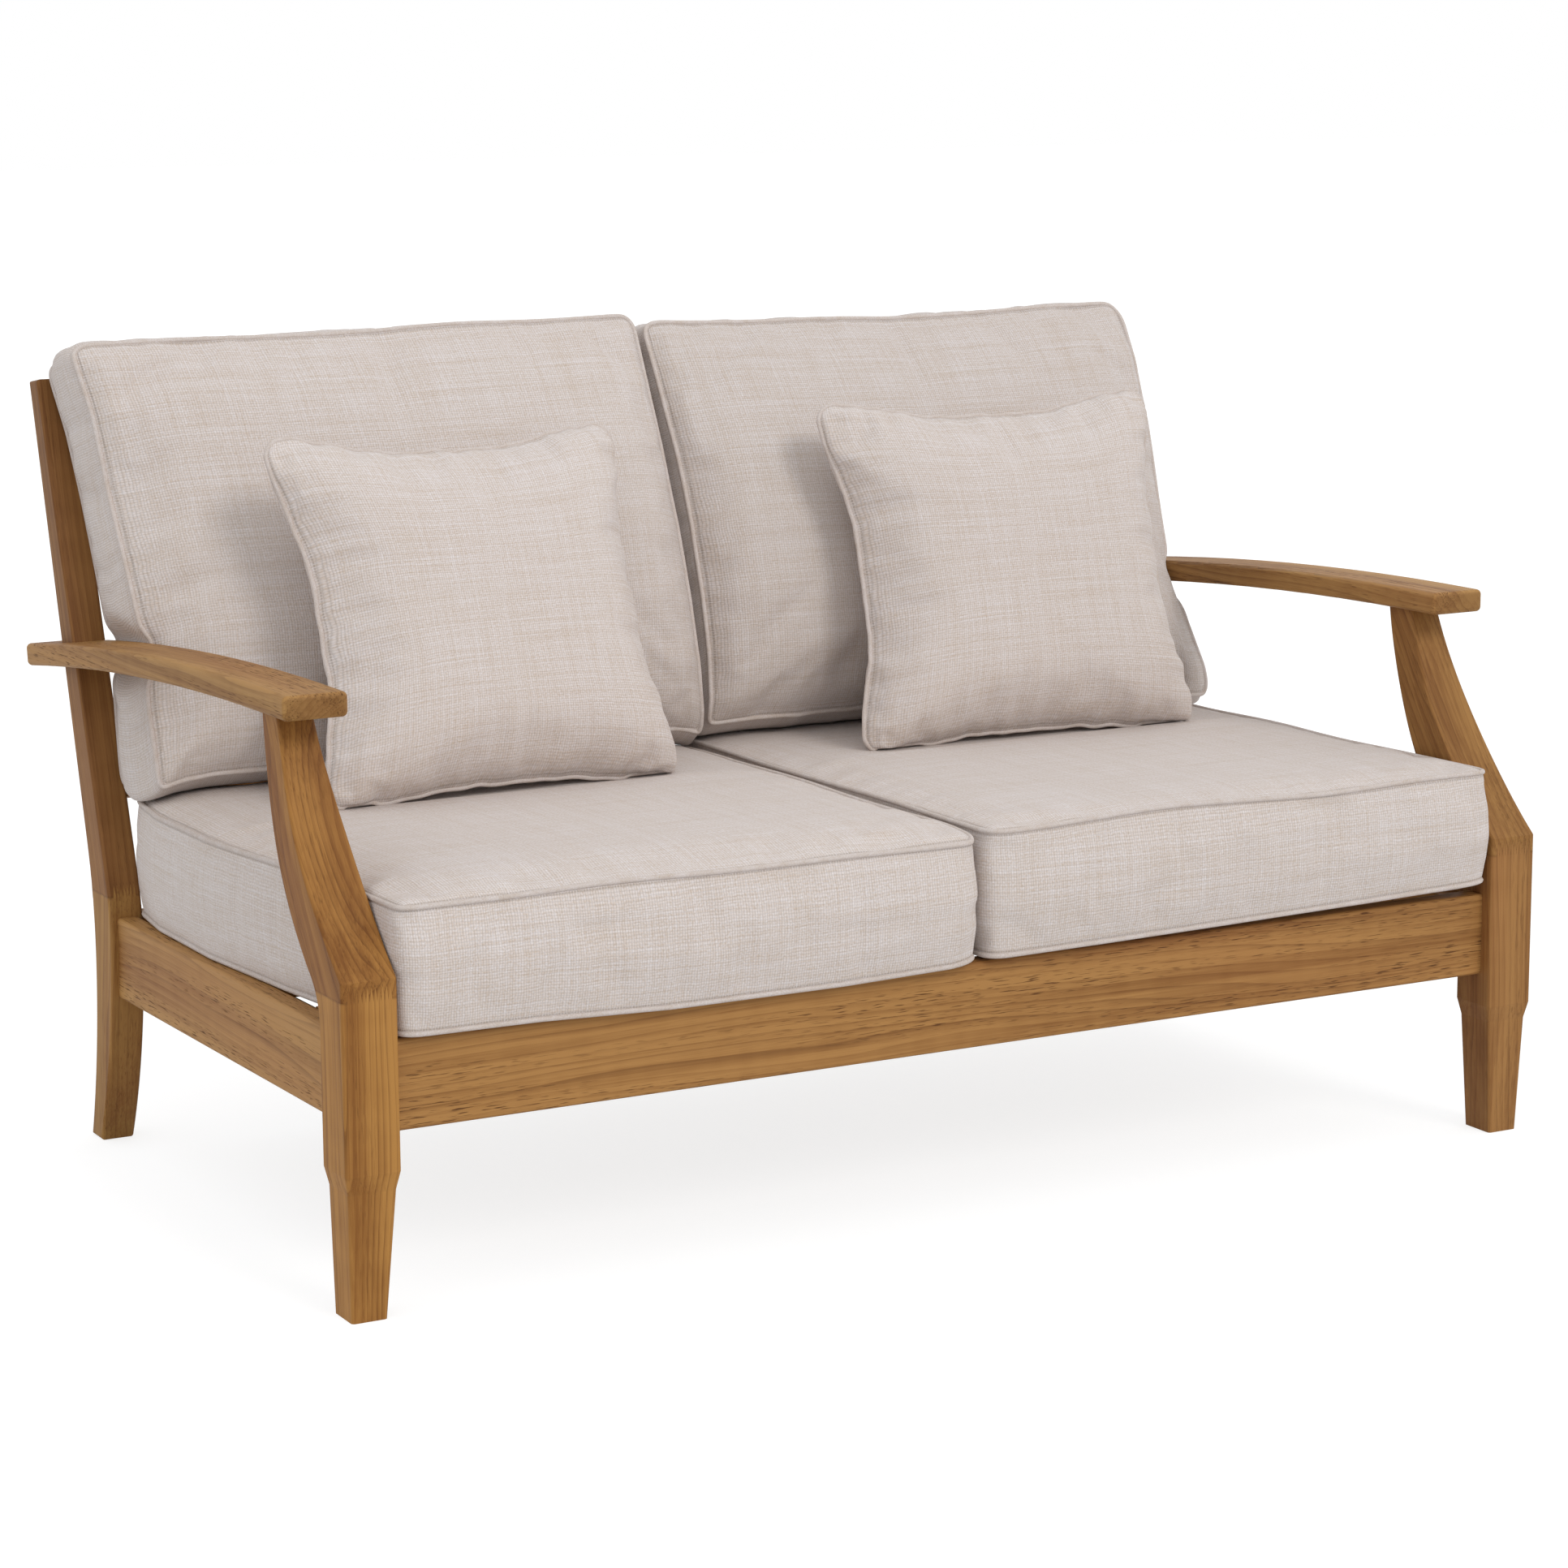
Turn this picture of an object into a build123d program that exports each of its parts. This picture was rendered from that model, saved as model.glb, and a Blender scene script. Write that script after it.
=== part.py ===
from build123d import *
from math import atan, atan2, cos, degrees, radians, sin, sqrt, tan
import os

# A two-seat patio loveseat: a teak frame with loose box cushions and throw pillows.
# X runs to the right as seen from the front, Y to the rear, Z up. Millimetres.
# Depths are measured from the front face of the front legs, and the whole part is
# moved at the end so that the origin lies under the middle of its box.

# Frame as a whole
outer_span = 1500.0
edge_round = 4.0
small_round = 1.5
overrun = 20.0
joint_fit = 0.1
seat_gap = 0.3

# Front legs
front_leg_width = 61.0
front_leg_depth = 62.0
foot_width = 39.5
foot_depth = 46.5
foot_outer_inset = 7.0
foot_front_inset = 11.0
shoulder_low = 137.0
shoulder_high = 156.5
shoulder_step = 4.0
flare_start = 301.0
kink_height = 357.0

# Finger joints that join the leg to the shaped piece above it
finger_length = 15.0
finger_pitch = 4.0
finger_margin = 6.0
front_joint_height = 352.0
rear_joint_height = 318.0

# Arm supports above the front legs, from the kink up to the arm
support_lean = 180.0
support_height_shares = (0.0, 0.14, 0.32, 0.54, 0.76, 1.0)
support_front_shares = (0.0, 0.21, 0.445, 0.68, 0.855, 1.0)
support_depth_shares = (1.48, 1.38, 1.18, 0.95, 0.83, 0.69)
support_width_shares = (1.0, 1.0, 1.0, 0.93, 0.78, 0.66)
flare_height_shares = (0.0, 0.5, 1.0)
flare_depth_shares = (1.0, 1.1, 1.48)

# Arms
arm_width = 71.0
arm_thickness = 26.5
arm_edge_round = 6.0
arm_length = 823.0
arm_drop = 54.5
arm_front = 116.0
arm_top = 631.0
arm_overhang = 6.6

# Rear legs and back posts
side_rail_length = 675.0
rear_leg_width = 40.0
rear_leg_inset = 16.6
rear_leg_depth = 59.0
rear_foot_sweep = 60.0
rear_foot_depth = 35.5
front_waist_height = 262.0
rear_waist_height = 235.0
front_bend_radius = 200.0
rear_bend_radius = 465.0
front_lean = 17.74
rear_lean = 15.4
back_height = 888.0
post_top_fall = 4.5

# Seat rails
rail_height = 96.0
rail_top = 289.0
seat_fall = 10.0
side_rail_inset = 25.6
side_rail_thickness = 25.0
front_rail_setback = 16.8
front_rail_thickness = 28.0
rear_rail_setback = 16.0
rear_rail_thickness = 25.0
tenon_thickness = 12.0
tenon_height = 66.0
front_rail_tenon = 30.0
side_rail_tenon = 20.0
rear_rail_tenon = 24.0
rear_tenon_clearance = 2.0

# Seat slats, the cleats and the bearer under them
slat_count = 4
slat_width = 55.0
slat_thickness = 12.0
slat_end_gap = 1.0
cleat_width = 18.0
cleat_height = 20.0
bearer_width = 24.0
bearer_height = 60.0

# Corner blocks with their bolts
block_run = 70.0
block_height = 45.0
block_drop = 44.0
bolt_radius = 4.0
bolt_length = 62.0
bolt_head_radius = 7.5
bolt_head_height = 5.5
bolt_grip_share = 0.42

# Back panel: two rails and upright slats
back_rail_thickness = 18.0
back_top_rail_width = 75.0
back_bottom_rail_width = 65.0
back_top_rail_margin = 10.0
back_bottom_rail_rise = 95.0
back_rail_tenon = 22.0
back_tenon_thickness = 8.0
back_tenon_width_share = 0.7
back_slat_count = 11
back_slat_width = 50.0
back_slat_thickness = 12.0
back_slat_setback = 3.0
back_slat_housing = 12.0

# Fasteners
screw_radius = 2.0
screw_head_radius = 4.0
screw_head_height = 2.4
slat_screw_length = 26.0
slat_screw_end_inset = 10.0
slat_screw_spread = 30.0
slat_screw_bearer_inset = 7.0
dowel_radius = 4.0
dowel_length = 32.0
dowel_spacing = 17.0
arm_screw_radius = 2.5
arm_screw_head_radius = 5.0
arm_screw_head_height = 3.0
arm_screw_length = 50.0

# Cushions: covers with their fibre wrap, the cores inside, and their sizes
core_wrap = 8.0
cover_thickness = 2.0
cushion_corner = 14.0
seat_cushion_thickness = 127.0
seat_cushion_crown = 17.0
seat_cushion_belly = 8.0
seat_cushion_length = 748.0
seat_side_bulge = 5.0
seat_front_bulge = 9.0
cushion_arm_gap = 0.8
cushion_middle_gap = 1.2
side_draw = 5.0
bulge_draw = 1.5
belly_inset_shares = (1.0, 0.32, 0.0)
belly_rise_shares = (0.0, 0.4, 1.0)
belly_reach = 45.0
crown_reach = 120.0
crown_inset_shares = (0.0, 0.06, 0.22, 0.55, 1.0)
crown_rise_shares = (0.0, 0.36, 0.68, 0.91, 1.0)

back_cushion_thickness = 155.0
back_cushion_crown = 52.0
back_cushion_foot = 64.0
back_cushion_height = 546.0
back_side_bulge = 5.0
back_height_shares = (0.0, 0.03, 0.065, 0.175, 0.32, 0.49, 0.67, 0.835, 0.945, 1.0)
back_seam_shares = (0.72, 0.84, 0.91, 0.97, 1.0, 0.985, 0.93, 0.8, 0.66, 0.58)
back_crown_shares = (0.2, 0.4, 0.56, 0.84, 0.98, 1.0, 0.86, 0.54, 0.28, 0.14)
back_cap_height = 10.0
back_cap_inset = 14.0

# Throw pillows
pillow_size = 425.0
pillow_half_thickness = 75.0
pillow_rim = 4.0
pillow_corner = 16.0
pillow_lean = 23.0
pillow_draw = 17.0
pillow_left_offset = 4.0
pillow_right_offset = -22.0
pillow_contact_gap = 0.5
pillow_inset_shares = (0.0, 0.09, 0.24, 0.48, 0.72)
pillow_rise_shares = (0.0, 0.35, 0.65, 0.9, 1.0)
insert_inset_shares = (0.0, 0.24, 0.72)
insert_rise_shares = (0.0, 0.65, 1.0)

# Sizes that follow from those above
half_span = outer_span / 2
leg_inner = half_span - front_leg_width
leg_middle = half_span - front_leg_width / 2
rear_leg_outer = half_span - rear_leg_inset
rear_leg_inner = rear_leg_outer - rear_leg_width
rear_leg_front = front_leg_depth + side_rail_length
rail_outer = half_span - side_rail_inset
rail_inner = rail_outer - side_rail_thickness
front_rail_back = front_rail_setback + front_rail_thickness
rear_rail_front = rear_leg_front + rear_rail_setback
arm_outer = half_span + arm_overhang
arm_inner = arm_outer - arm_width
arm_radius = (arm_length ** 2 + arm_drop ** 2) / (2 * arm_drop)
arm_angle = degrees(atan2(arm_length, arm_radius - arm_drop))
arm_under = arm_top - arm_thickness
seat_tilt = degrees(atan(seat_fall / side_rail_length))

seat_normal = (0, sin(radians(seat_tilt)), cos(radians(seat_tilt)))
seat_frame = Plane(origin=(0, front_leg_depth, rail_top), x_dir=(1, 0, 0), z_dir=seat_normal)

bend_rise = front_bend_radius * sin(radians(front_lean))
bend_run = front_bend_radius * (1 - cos(radians(front_lean)))
back_start_y = rear_leg_front + bend_run
back_start_z = front_waist_height + bend_rise
back_normal = (0, -cos(radians(front_lean)), sin(radians(front_lean)))
back_frame = Plane(origin=(0, back_start_y, back_start_z), x_dir=(1, 0, 0), z_dir=back_normal)
back_run = (back_height - back_start_z) / cos(radians(front_lean))
back_top_rail_low = back_run - back_top_rail_margin - back_top_rail_width
rear_bend_rise = rear_bend_radius * sin(radians(rear_lean))
rear_bend_run = rear_bend_radius * (1 - cos(radians(rear_lean)))
rear_line_y = rear_leg_front + rear_leg_depth + rear_bend_run
rear_line_z = rear_waist_height + rear_bend_rise
post_rear_top_z = back_height - post_top_fall
post_rear_top_y = rear_line_y + (post_rear_top_z - rear_line_z) * tan(radians(rear_lean))

middle_y = (post_rear_top_y - seat_front_bulge) / 2

cushion_outer = arm_inner - cushion_arm_gap
cushion_width = cushion_outer - cushion_middle_gap
cushion_middle = (cushion_outer + cushion_middle_gap) / 2


def side_solid(edges, x_from, x_to):
    """A side outline, drawn on X = 0, carried across from one X to another."""
    face = Face(Wire(edges))
    return Pos(x_from, 0, 0) * extrude(face, amount=x_to - x_from, dir=(1, 0, 0))


def side_polygon(points, x_from, x_to):
    """A straight-sided outline of (depth, height) points, carried across."""
    face = make_face(Polyline(*[(0, y, z) for y, z in points], close=True))
    return Pos(x_from, 0, 0) * extrude(face, amount=x_to - x_from, dir=(1, 0, 0))


def block(x_from, x_to, y_from, y_to, z_from, z_to):
    """A plain block between two corners."""
    middle = ((x_from + x_to) / 2, (y_from + y_to) / 2, (z_from + z_to) / 2)
    return Pos(*middle) * Box(x_to - x_from, y_to - y_from, z_to - z_from)


def grown(solid_box, fit):
    """The box of a block grown by a fit on every side."""
    low, high = solid_box.bounding_box().min, solid_box.bounding_box().max
    return block(low.X - fit, high.X + fit, low.Y - fit, high.Y + fit, low.Z - fit, high.Z + fit)


def mirrored(solid):
    """The same piece for the other side of the seat."""
    return mirror(solid, about=Plane.YZ)


def level_section(x_from, x_to, y_from, y_to, z):
    """A rounded rectangle lying level, one station of a leg."""
    place = Pos((x_from + x_to) / 2, (y_from + y_to) / 2, z)
    return place * RectangleRounded(x_to - x_from, y_to - y_from, edge_round)


def below_fingers(x_from, x_to, y_from, y_to, tip_height):
    """All that lies under a row of pointed fingers, whose tips reach the given height."""
    start, end = x_from + finger_margin, x_to - finger_margin
    count = max(1, round((end - start) / finger_pitch))
    step = (end - start) / count
    root = tip_height - finger_length
    points = [(x_from - overrun, 0, -overrun), (x_from - overrun, 0, root), (start, 0, root)]
    for index in range(count):
        points.append((start + (index + 0.5) * step, 0, tip_height))
        points.append((start + (index + 1) * step, 0, root))
    points += [(x_to + overrun, 0, root), (x_to + overrun, 0, -overrun)]
    face = make_face(Polyline(*points, close=True))
    return Pos(0, y_from, 0) * extrude(face, amount=y_to - y_from, dir=(0, 1, 0))


# Front legs and arm supports

def front_leg_blank():
    """The straight leg with its tapered foot, shoulder and the flare at its rear."""
    foot_outer = half_span - foot_outer_inset
    step = shoulder_step
    sections = [
        level_section(foot_outer - foot_width, foot_outer, foot_front_inset,
                      foot_front_inset + foot_depth, 0),
        level_section(leg_inner + step, half_span - step, step,
                      front_leg_depth - step, shoulder_low),
        level_section(leg_inner, half_span, 0, front_leg_depth, shoulder_high),
        level_section(leg_inner, half_span, 0, front_leg_depth, flare_start),
    ]
    lower = loft(sections, ruled=True)
    rise = kink_height - flare_start
    flare = loft([
        level_section(leg_inner, half_span, 0, front_leg_depth * depth, flare_start + rise * share)
        for share, depth in zip(flare_height_shares, flare_depth_shares)
    ])
    return lower + flare


def support_blank():
    """The shaped piece that leans back from the leg and narrows towards the arm."""
    rise = arm_under - kink_height
    sections = []
    rows = zip(support_height_shares, support_front_shares,
               support_depth_shares, support_width_shares)
    for height, front, depth, width in rows:
        half_width = front_leg_width * width / 2
        y_front = support_lean * front
        sections.append(level_section(
            leg_middle - half_width, leg_middle + half_width,
            y_front, y_front + front_leg_depth * depth, kink_height + rise * height))
    return loft(sections)


def arm_line(radius, angle):
    """A point of the arm's arc, in depth and height."""
    centre_z = arm_top - arm_radius
    return (0, arm_front + radius * sin(radians(angle)), centre_z + radius * cos(radians(angle)))


def arm_blank():
    """The flat arm, bowed along its length, level at its front end."""
    top, under = arm_radius, arm_radius - arm_thickness
    edges = [
        ThreePointArc(arm_line(top, 0), arm_line(top, arm_angle / 2), arm_line(top, arm_angle)),
        Line(arm_line(top, arm_angle), arm_line(under, arm_angle)),
        ThreePointArc(arm_line(under, arm_angle), arm_line(under, arm_angle / 2),
                      arm_line(under, 0)),
        Line(arm_line(under, 0), arm_line(top, 0)),
    ]
    arm = side_solid(edges, arm_inner, arm_outer)
    return fillet(arm.edges(), arm_edge_round)


def above_arm_underside():
    """All that lies over the arm's underside, to trim the support to it."""
    under = arm_radius - arm_thickness
    high = arm_top + overrun
    start, end = arm_line(under, 0), arm_line(under, arm_angle)
    edges = [
        ThreePointArc(start, arm_line(under, arm_angle / 2), end),
        Line(end, (0, end[1], high)),
        Line((0, end[1], high), (0, start[1], high)),
        Line((0, start[1], high), start),
    ]
    return side_solid(edges, arm_inner - overrun, arm_outer + overrun)


# Rear legs and back posts

def bow(sweep, rise, height):
    """How far an arc has left the vertical at a height from its waist."""
    radius = (rise ** 2 + sweep ** 2) / (2 * sweep)
    return radius - sqrt(radius ** 2 - height ** 2)


def rear_leg_blank():
    """The sabre foot, the straight waist and the leaning post above, as one side outline."""
    front_y, back_y = rear_leg_front, rear_leg_front + rear_leg_depth
    foot_front = front_y + rear_foot_sweep
    foot_back = foot_front + rear_foot_depth
    back_sweep = foot_back - back_y
    half_front = (0, front_y + bow(rear_foot_sweep, front_waist_height, front_waist_height / 2),
                  front_waist_height / 2)
    half_back = (0, back_y + bow(back_sweep, rear_waist_height, rear_waist_height / 2),
                 rear_waist_height / 2)

    def bent(start_y, waist, radius, angle):
        return (0, start_y + radius * (1 - cos(radians(angle))), waist + radius * sin(radians(angle)))

    front_foot, back_foot = (0, foot_front, 0), (0, foot_back, 0)
    front_waist, back_waist = (0, front_y, front_waist_height), (0, back_y, rear_waist_height)
    front_bend = bent(front_y, front_waist_height, front_bend_radius, front_lean)
    back_bend = bent(back_y, rear_waist_height, rear_bend_radius, rear_lean)
    front_top = (0, back_start_y + back_run * sin(radians(front_lean)), back_height)
    back_top = (0, post_rear_top_y, post_rear_top_z)
    edges = [
        Line(back_foot, front_foot),
        ThreePointArc(front_foot, half_front, front_waist),
        ThreePointArc(front_waist,
                      bent(front_y, front_waist_height, front_bend_radius, front_lean / 2),
                      front_bend),
        Line(front_bend, front_top),
        Line(front_top, back_top),
        Line(back_top, back_bend),
        ThreePointArc(back_bend,
                      bent(back_y, rear_waist_height, rear_bend_radius, rear_lean / 2),
                      back_waist),
        ThreePointArc(back_waist, half_back, back_foot),
    ]
    leg = side_solid(edges, rear_leg_inner, rear_leg_outer)
    sides = leg.faces().filter_by(Axis.X)
    return fillet(sides.edges(), edge_round)


# Seat rails with their tenons

def front_rail_tenon_block():
    """The tenon at the right end of the front rail."""
    middle_z = rail_top - rail_height / 2
    middle_y = front_rail_setback + front_rail_thickness / 2
    return block(leg_inner - overrun, leg_inner + front_rail_tenon,
                 middle_y - tenon_thickness / 2, middle_y + tenon_thickness / 2,
                 middle_z - tenon_height / 2, middle_z + tenon_height / 2)


def side_rail_front_tenon():
    """The tenon that enters the front leg from behind."""
    middle_x = (rail_inner + rail_outer) / 2
    middle_z = rail_top - rail_height / 2
    return block(middle_x - tenon_thickness / 2, middle_x + tenon_thickness / 2,
                 front_leg_depth - side_rail_tenon, front_leg_depth + overrun,
                 middle_z - tenon_height / 2, middle_z + tenon_height / 2)


def side_rail_rear_tenon():
    """The tenon that enters the rear leg from the front."""
    middle_x = (rail_inner + rail_outer) / 2
    middle_z = rail_top - seat_fall - rail_height / 2
    return block(middle_x - tenon_thickness / 2, middle_x + tenon_thickness / 2,
                 rear_leg_front - overrun, rear_leg_front + side_rail_tenon,
                 middle_z - tenon_height / 2, middle_z + tenon_height / 2)


def rear_rail_tenon_block():
    """The tenon at the right end of the rear rail, behind the side rail's own tenon."""
    middle_z = rail_top - seat_fall - rail_height / 2
    y_from = rear_leg_front + side_rail_tenon + rear_tenon_clearance
    return block(rear_leg_inner - overrun, rear_leg_inner + rear_rail_tenon,
                 y_from, y_from + tenon_thickness,
                 middle_z - tenon_height / 2, middle_z + tenon_height / 2)


def front_rail():
    """The wide rail across the front, tenoned into both front legs."""
    rail = block(-leg_inner, leg_inner, front_rail_setback, front_rail_back,
                 rail_top - rail_height, rail_top)
    long_edges = rail.edges().filter_by(Axis.X)
    tenon = front_rail_tenon_block()
    return fillet(long_edges, edge_round) + tenon + mirrored(tenon)


def rear_rail():
    """The rail across the rear, tenoned into both rear legs."""
    top = rail_top - seat_fall
    rail = block(-rear_leg_inner, rear_leg_inner, rear_rail_front,
                 rear_rail_front + rear_rail_thickness, top - rail_height, top)
    long_edges = rail.edges().filter_by(Axis.X)
    tenon = rear_rail_tenon_block()
    return fillet(long_edges, edge_round) + tenon + mirrored(tenon)


def side_rail(front_leg, rear_leg):
    """The right side rail, which falls towards the rear with the seat."""
    length = side_rail_length + 2 * overrun
    middle_x = (rail_inner + rail_outer) / 2
    rail = Box(side_rail_thickness, length, rail_height)
    rail = fillet(rail.edges().filter_by(Axis.Y), edge_round)
    rail = seat_frame * (Pos(middle_x, side_rail_length / 2, -rail_height / 2) * rail)
    rail = rail - front_leg - rear_leg
    return rail + side_rail_front_tenon() + side_rail_rear_tenon()


# Slats, cleats and bearer, laid on the plane of the seat

def slat_places():
    """The middle of each seat slat, evenly spaced between the front and rear rails."""
    clear = rear_rail_front - front_rail_back
    gap = (clear - slat_count * slat_width) / (slat_count + 1)
    start = front_rail_back - front_leg_depth
    return [start + gap * (i + 1) + slat_width * (i + 0.5) for i in range(slat_count)]


def seat_slat(place):
    """One seat slat, from side rail to side rail."""
    length = 2 * (rail_inner - slat_end_gap)
    slat = fillet(Box(length, slat_width, slat_thickness).edges().filter_by(Axis.X), small_round)
    return seat_frame * (Pos(0, place, -slat_thickness / 2) * slat)


def slat_cleat(front_leg, rear_leg):
    """The strip on the inside of the right side rail that carries the slat ends."""
    middle_z = -slat_thickness - cleat_height / 2
    strip = Box(cleat_width, side_rail_length + 2 * small_round, cleat_height)
    place = Pos(rail_inner - cleat_width / 2, side_rail_length / 2, middle_z)
    return seat_frame * (place * strip) - front_leg - rear_leg


def centre_bearer():
    """The bearer under the middle of the slats, from the front rail to the rear rail."""
    start = front_rail_back - front_leg_depth
    end = rear_rail_front - front_leg_depth
    middle_z = -slat_thickness - bearer_height / 2
    length = end - start + 2 * small_round
    bearer = seat_frame * (Pos(0, (start + end) / 2, middle_z) * Box(bearer_width, length, bearer_height))
    front = block(-overrun, overrun, front_rail_setback, front_rail_back,
                  rail_top - 2 * rail_height, rail_top)
    rear = block(-overrun, overrun, rear_rail_front, rear_rail_front + rear_rail_thickness,
                 rail_top - 2 * rail_height, rail_top)
    return bearer - front - rear


def screw(radius, head_radius, head_height, length):
    """A countersunk screw standing head up, with the top of its head at the origin."""
    head = Pos(0, 0, -head_height / 2) * Cone(radius, head_radius, head_height)
    shank = Pos(0, 0, -head_height - (length - head_height) / 2) * Cylinder(radius, length - head_height)
    return head + shank


def slat_screw_spots():
    """Where the slat screws go: two in each cleat and two in the bearer, on each slat."""
    end_x = rail_inner - slat_end_gap - slat_screw_end_inset
    spots = []
    for place in slat_places():
        for x in (-end_x, -slat_screw_bearer_inset, slat_screw_bearer_inset, end_x):
            for y in (-slat_screw_spread / 2, slat_screw_spread / 2):
                spots.append((x, place + y))
    return spots


def slat_screws(fit):
    """All the slat screws, or with a fit their holes."""
    one = screw(screw_radius + fit, screw_head_radius + fit, screw_head_height, slat_screw_length + fit)
    return [seat_frame * (Pos(x, y, 0) * one) for x, y in slat_screw_spots()]


# Corner blocks and their bolts

def front_corner_block():
    """The block in the right front corner, cut round the leg."""
    run_back = block_run + (rail_inner - leg_inner) - (front_leg_depth - front_rail_back)
    points = [
        (leg_inner - block_run, front_rail_back), (leg_inner, front_rail_back),
        (leg_inner, front_leg_depth), (rail_inner, front_leg_depth),
        (rail_inner, front_leg_depth + run_back),
    ]
    return corner_block(points, rail_top - block_drop)


def rear_corner_block(rear_leg):
    """The block in the right rear corner, cut round the leg."""
    run_front = block_run + (rail_inner - rear_leg_inner) - rear_rail_setback
    inside = rear_leg_front + rear_rail_setback / 2
    points = [
        (rear_leg_inner - block_run, rear_rail_front), (rear_leg_inner, rear_rail_front),
        (rear_leg_inner, inside), (rail_inner, inside),
        (rail_inner, rear_leg_front - run_front),
    ]
    return corner_block(points, rail_top - block_drop) - rear_leg


def corner_block(points, top):
    """A block of the given outline, seen from above, under the given height."""
    face = make_face(Polyline(*[(x, y, top - block_height) for x, y in points], close=True))
    return extrude(face, amount=block_height, dir=(0, 0, 1))


def corner_bolt(face_x, face_y, direction_y, fit):
    """A hex-headed bolt from the slanting face of a block into the leg behind it."""
    height = rail_top - block_drop - block_height / 2
    axis = (1, direction_y, 0)
    place = Plane(origin=(face_x, face_y, height), x_dir=(0, 0, 1), z_dir=axis)
    shank_length = bolt_length + fit
    shank = Pos(0, 0, shank_length / 2) * Cylinder(bolt_radius + fit, shank_length)
    if fit:
        return place * shank
    head = extrude(RegularPolygon(bolt_head_radius, 6), amount=bolt_head_height)
    return place * (shank + Pos(0, 0, -bolt_head_height) * head)


def front_bolt(fit):
    """The bolt of the right front corner."""
    run_back = block_run + (rail_inner - leg_inner) - (front_leg_depth - front_rail_back)
    return corner_bolt((leg_inner - block_run + rail_inner) / 2,
                       (front_rail_back + front_leg_depth + run_back) / 2, -1, fit)


def rear_bolt(fit):
    """The bolt of the right rear corner."""
    run_front = block_run + (rail_inner - rear_leg_inner) - rear_rail_setback
    return corner_bolt((rear_leg_inner - block_run + rail_inner) / 2,
                       (rear_rail_front + rear_leg_front - run_front) / 2, 1, fit)


# Back panel, laid on the leaning plane of the posts' front faces

def back_board(half_length, low, high, setback, thickness):
    """A board of the back between two heights measured along the posts."""
    place = Pos(0, (low + high) / 2, -setback - thickness / 2)
    return back_frame * (place * Box(2 * half_length, high - low, thickness))


def back_rail(low, width):
    """A rail of the back with a tenon at each end."""
    place = Pos(0, low + width / 2, -back_rail_thickness / 2)
    board = Box(2 * rear_leg_inner, width, back_rail_thickness)
    board = back_frame * (place * fillet(board.edges().filter_by(Axis.X), small_round))
    return board + back_tenons(low, width, 0)


def back_tenons(low, width, fit):
    """The long tongue whose ends are the tenons of a back rail."""
    tongue = width * back_tenon_width_share
    setback = (back_rail_thickness - back_tenon_thickness) / 2
    return back_board(rear_leg_inner + back_rail_tenon + fit, low + (width - tongue) / 2 - fit,
                      low + (width + tongue) / 2 + fit, setback - fit,
                      back_tenon_thickness + 2 * fit)


def back_slat(index, fit):
    """One upright slat of the back, housed in both rails."""
    gap = (2 * rear_leg_inner - back_slat_count * back_slat_width) / (back_slat_count + 1)
    middle = -rear_leg_inner + gap * (index + 1) + back_slat_width * (index + 0.5)
    low = back_bottom_rail_rise + back_bottom_rail_width - back_slat_housing - fit
    high = back_top_rail_low + back_slat_housing + fit
    place = Pos(middle, (low + high) / 2, -back_slat_setback - back_slat_thickness / 2)
    slat = Box(back_slat_width + 2 * fit, high - low, back_slat_thickness + 2 * fit)
    return back_frame * (place * slat)



# Fixings of the arms

def arm_dowels(fit):
    """The two dowels between the right arm and its support."""
    share = support_front_shares[-1]
    middle = support_lean * share + front_leg_depth * support_depth_shares[-1] / 2
    pin = Cylinder(dowel_radius + fit, dowel_length + 2 * fit)
    return [Pos(leg_middle, middle + side * dowel_spacing / 2, arm_under) * pin for side in (-1, 1)]


def arm_screw(fit):
    """The screw that holds the right arm to the back post, from the post's inner face."""
    one = screw(arm_screw_radius + fit, arm_screw_head_radius + fit, arm_screw_head_height,
                arm_screw_length + fit)
    height = arm_line(arm_radius - arm_thickness / 2, arm_angle)[2] + arm_thickness / 2
    middle = (height - back_start_z) * tan(radians(front_lean)) + back_start_y + rear_leg_width / 2
    place = Plane(origin=(rear_leg_inner, middle, height), x_dir=(0, 0, 1), z_dir=(-1, 0, 0))
    return place * one


def arm_notch():
    """The notch in the arm's inner side that the back post stands in."""
    points = []
    for height in (arm_top - arm_drop - 2 * arm_thickness, arm_top + arm_thickness):
        front = back_start_y + (height - back_start_z) * tan(radians(front_lean))
        rear = rear_line_y + (height - rear_line_z) * tan(radians(rear_lean))
        points.append((front - joint_fit, rear + joint_fit, height))
    (f0, r0, z0), (f1, r1, z1) = points
    return side_polygon([(f0, z0), (r0, z0), (r1, z1), (f1, z1)],
                        arm_inner - overrun, rear_leg_outer + joint_fit)


def foot_middles():
    """The middle of each right foot: front, then rear."""
    front_x = half_span - foot_outer_inset - foot_width / 2
    rear_x = rear_leg_inner + rear_leg_width / 2
    return [(front_x, foot_front_inset + foot_depth / 2),
            (rear_x, rear_leg_front + rear_foot_sweep + rear_foot_depth / 2)]


# Cushions

def soft_outline(half_x, half_y, draw, corner, height):
    """A four-sided outline with its sides drawn in and its corners rounded."""
    corners = [(-half_x, -half_y), (half_x, -half_y), (half_x, half_y), (-half_x, half_y)]
    middles = [(0, draw - half_y), (half_x - draw, 0), (0, half_y - draw), (draw - half_x, 0)]
    arcs = [
        ThreePointArc((*corners[i], height), (*middles[i], height), (*corners[(i + 1) % 4], height))
        for i in range(4)
    ]
    face = make_face(arcs)
    return fillet(face.vertices(), corner)


def seat_place(z=0):
    """Where a right seat cushion lies on the plane of the seat."""
    return Pos(cushion_middle, seat_cushion_length / 2 - front_leg_depth, z)


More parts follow.
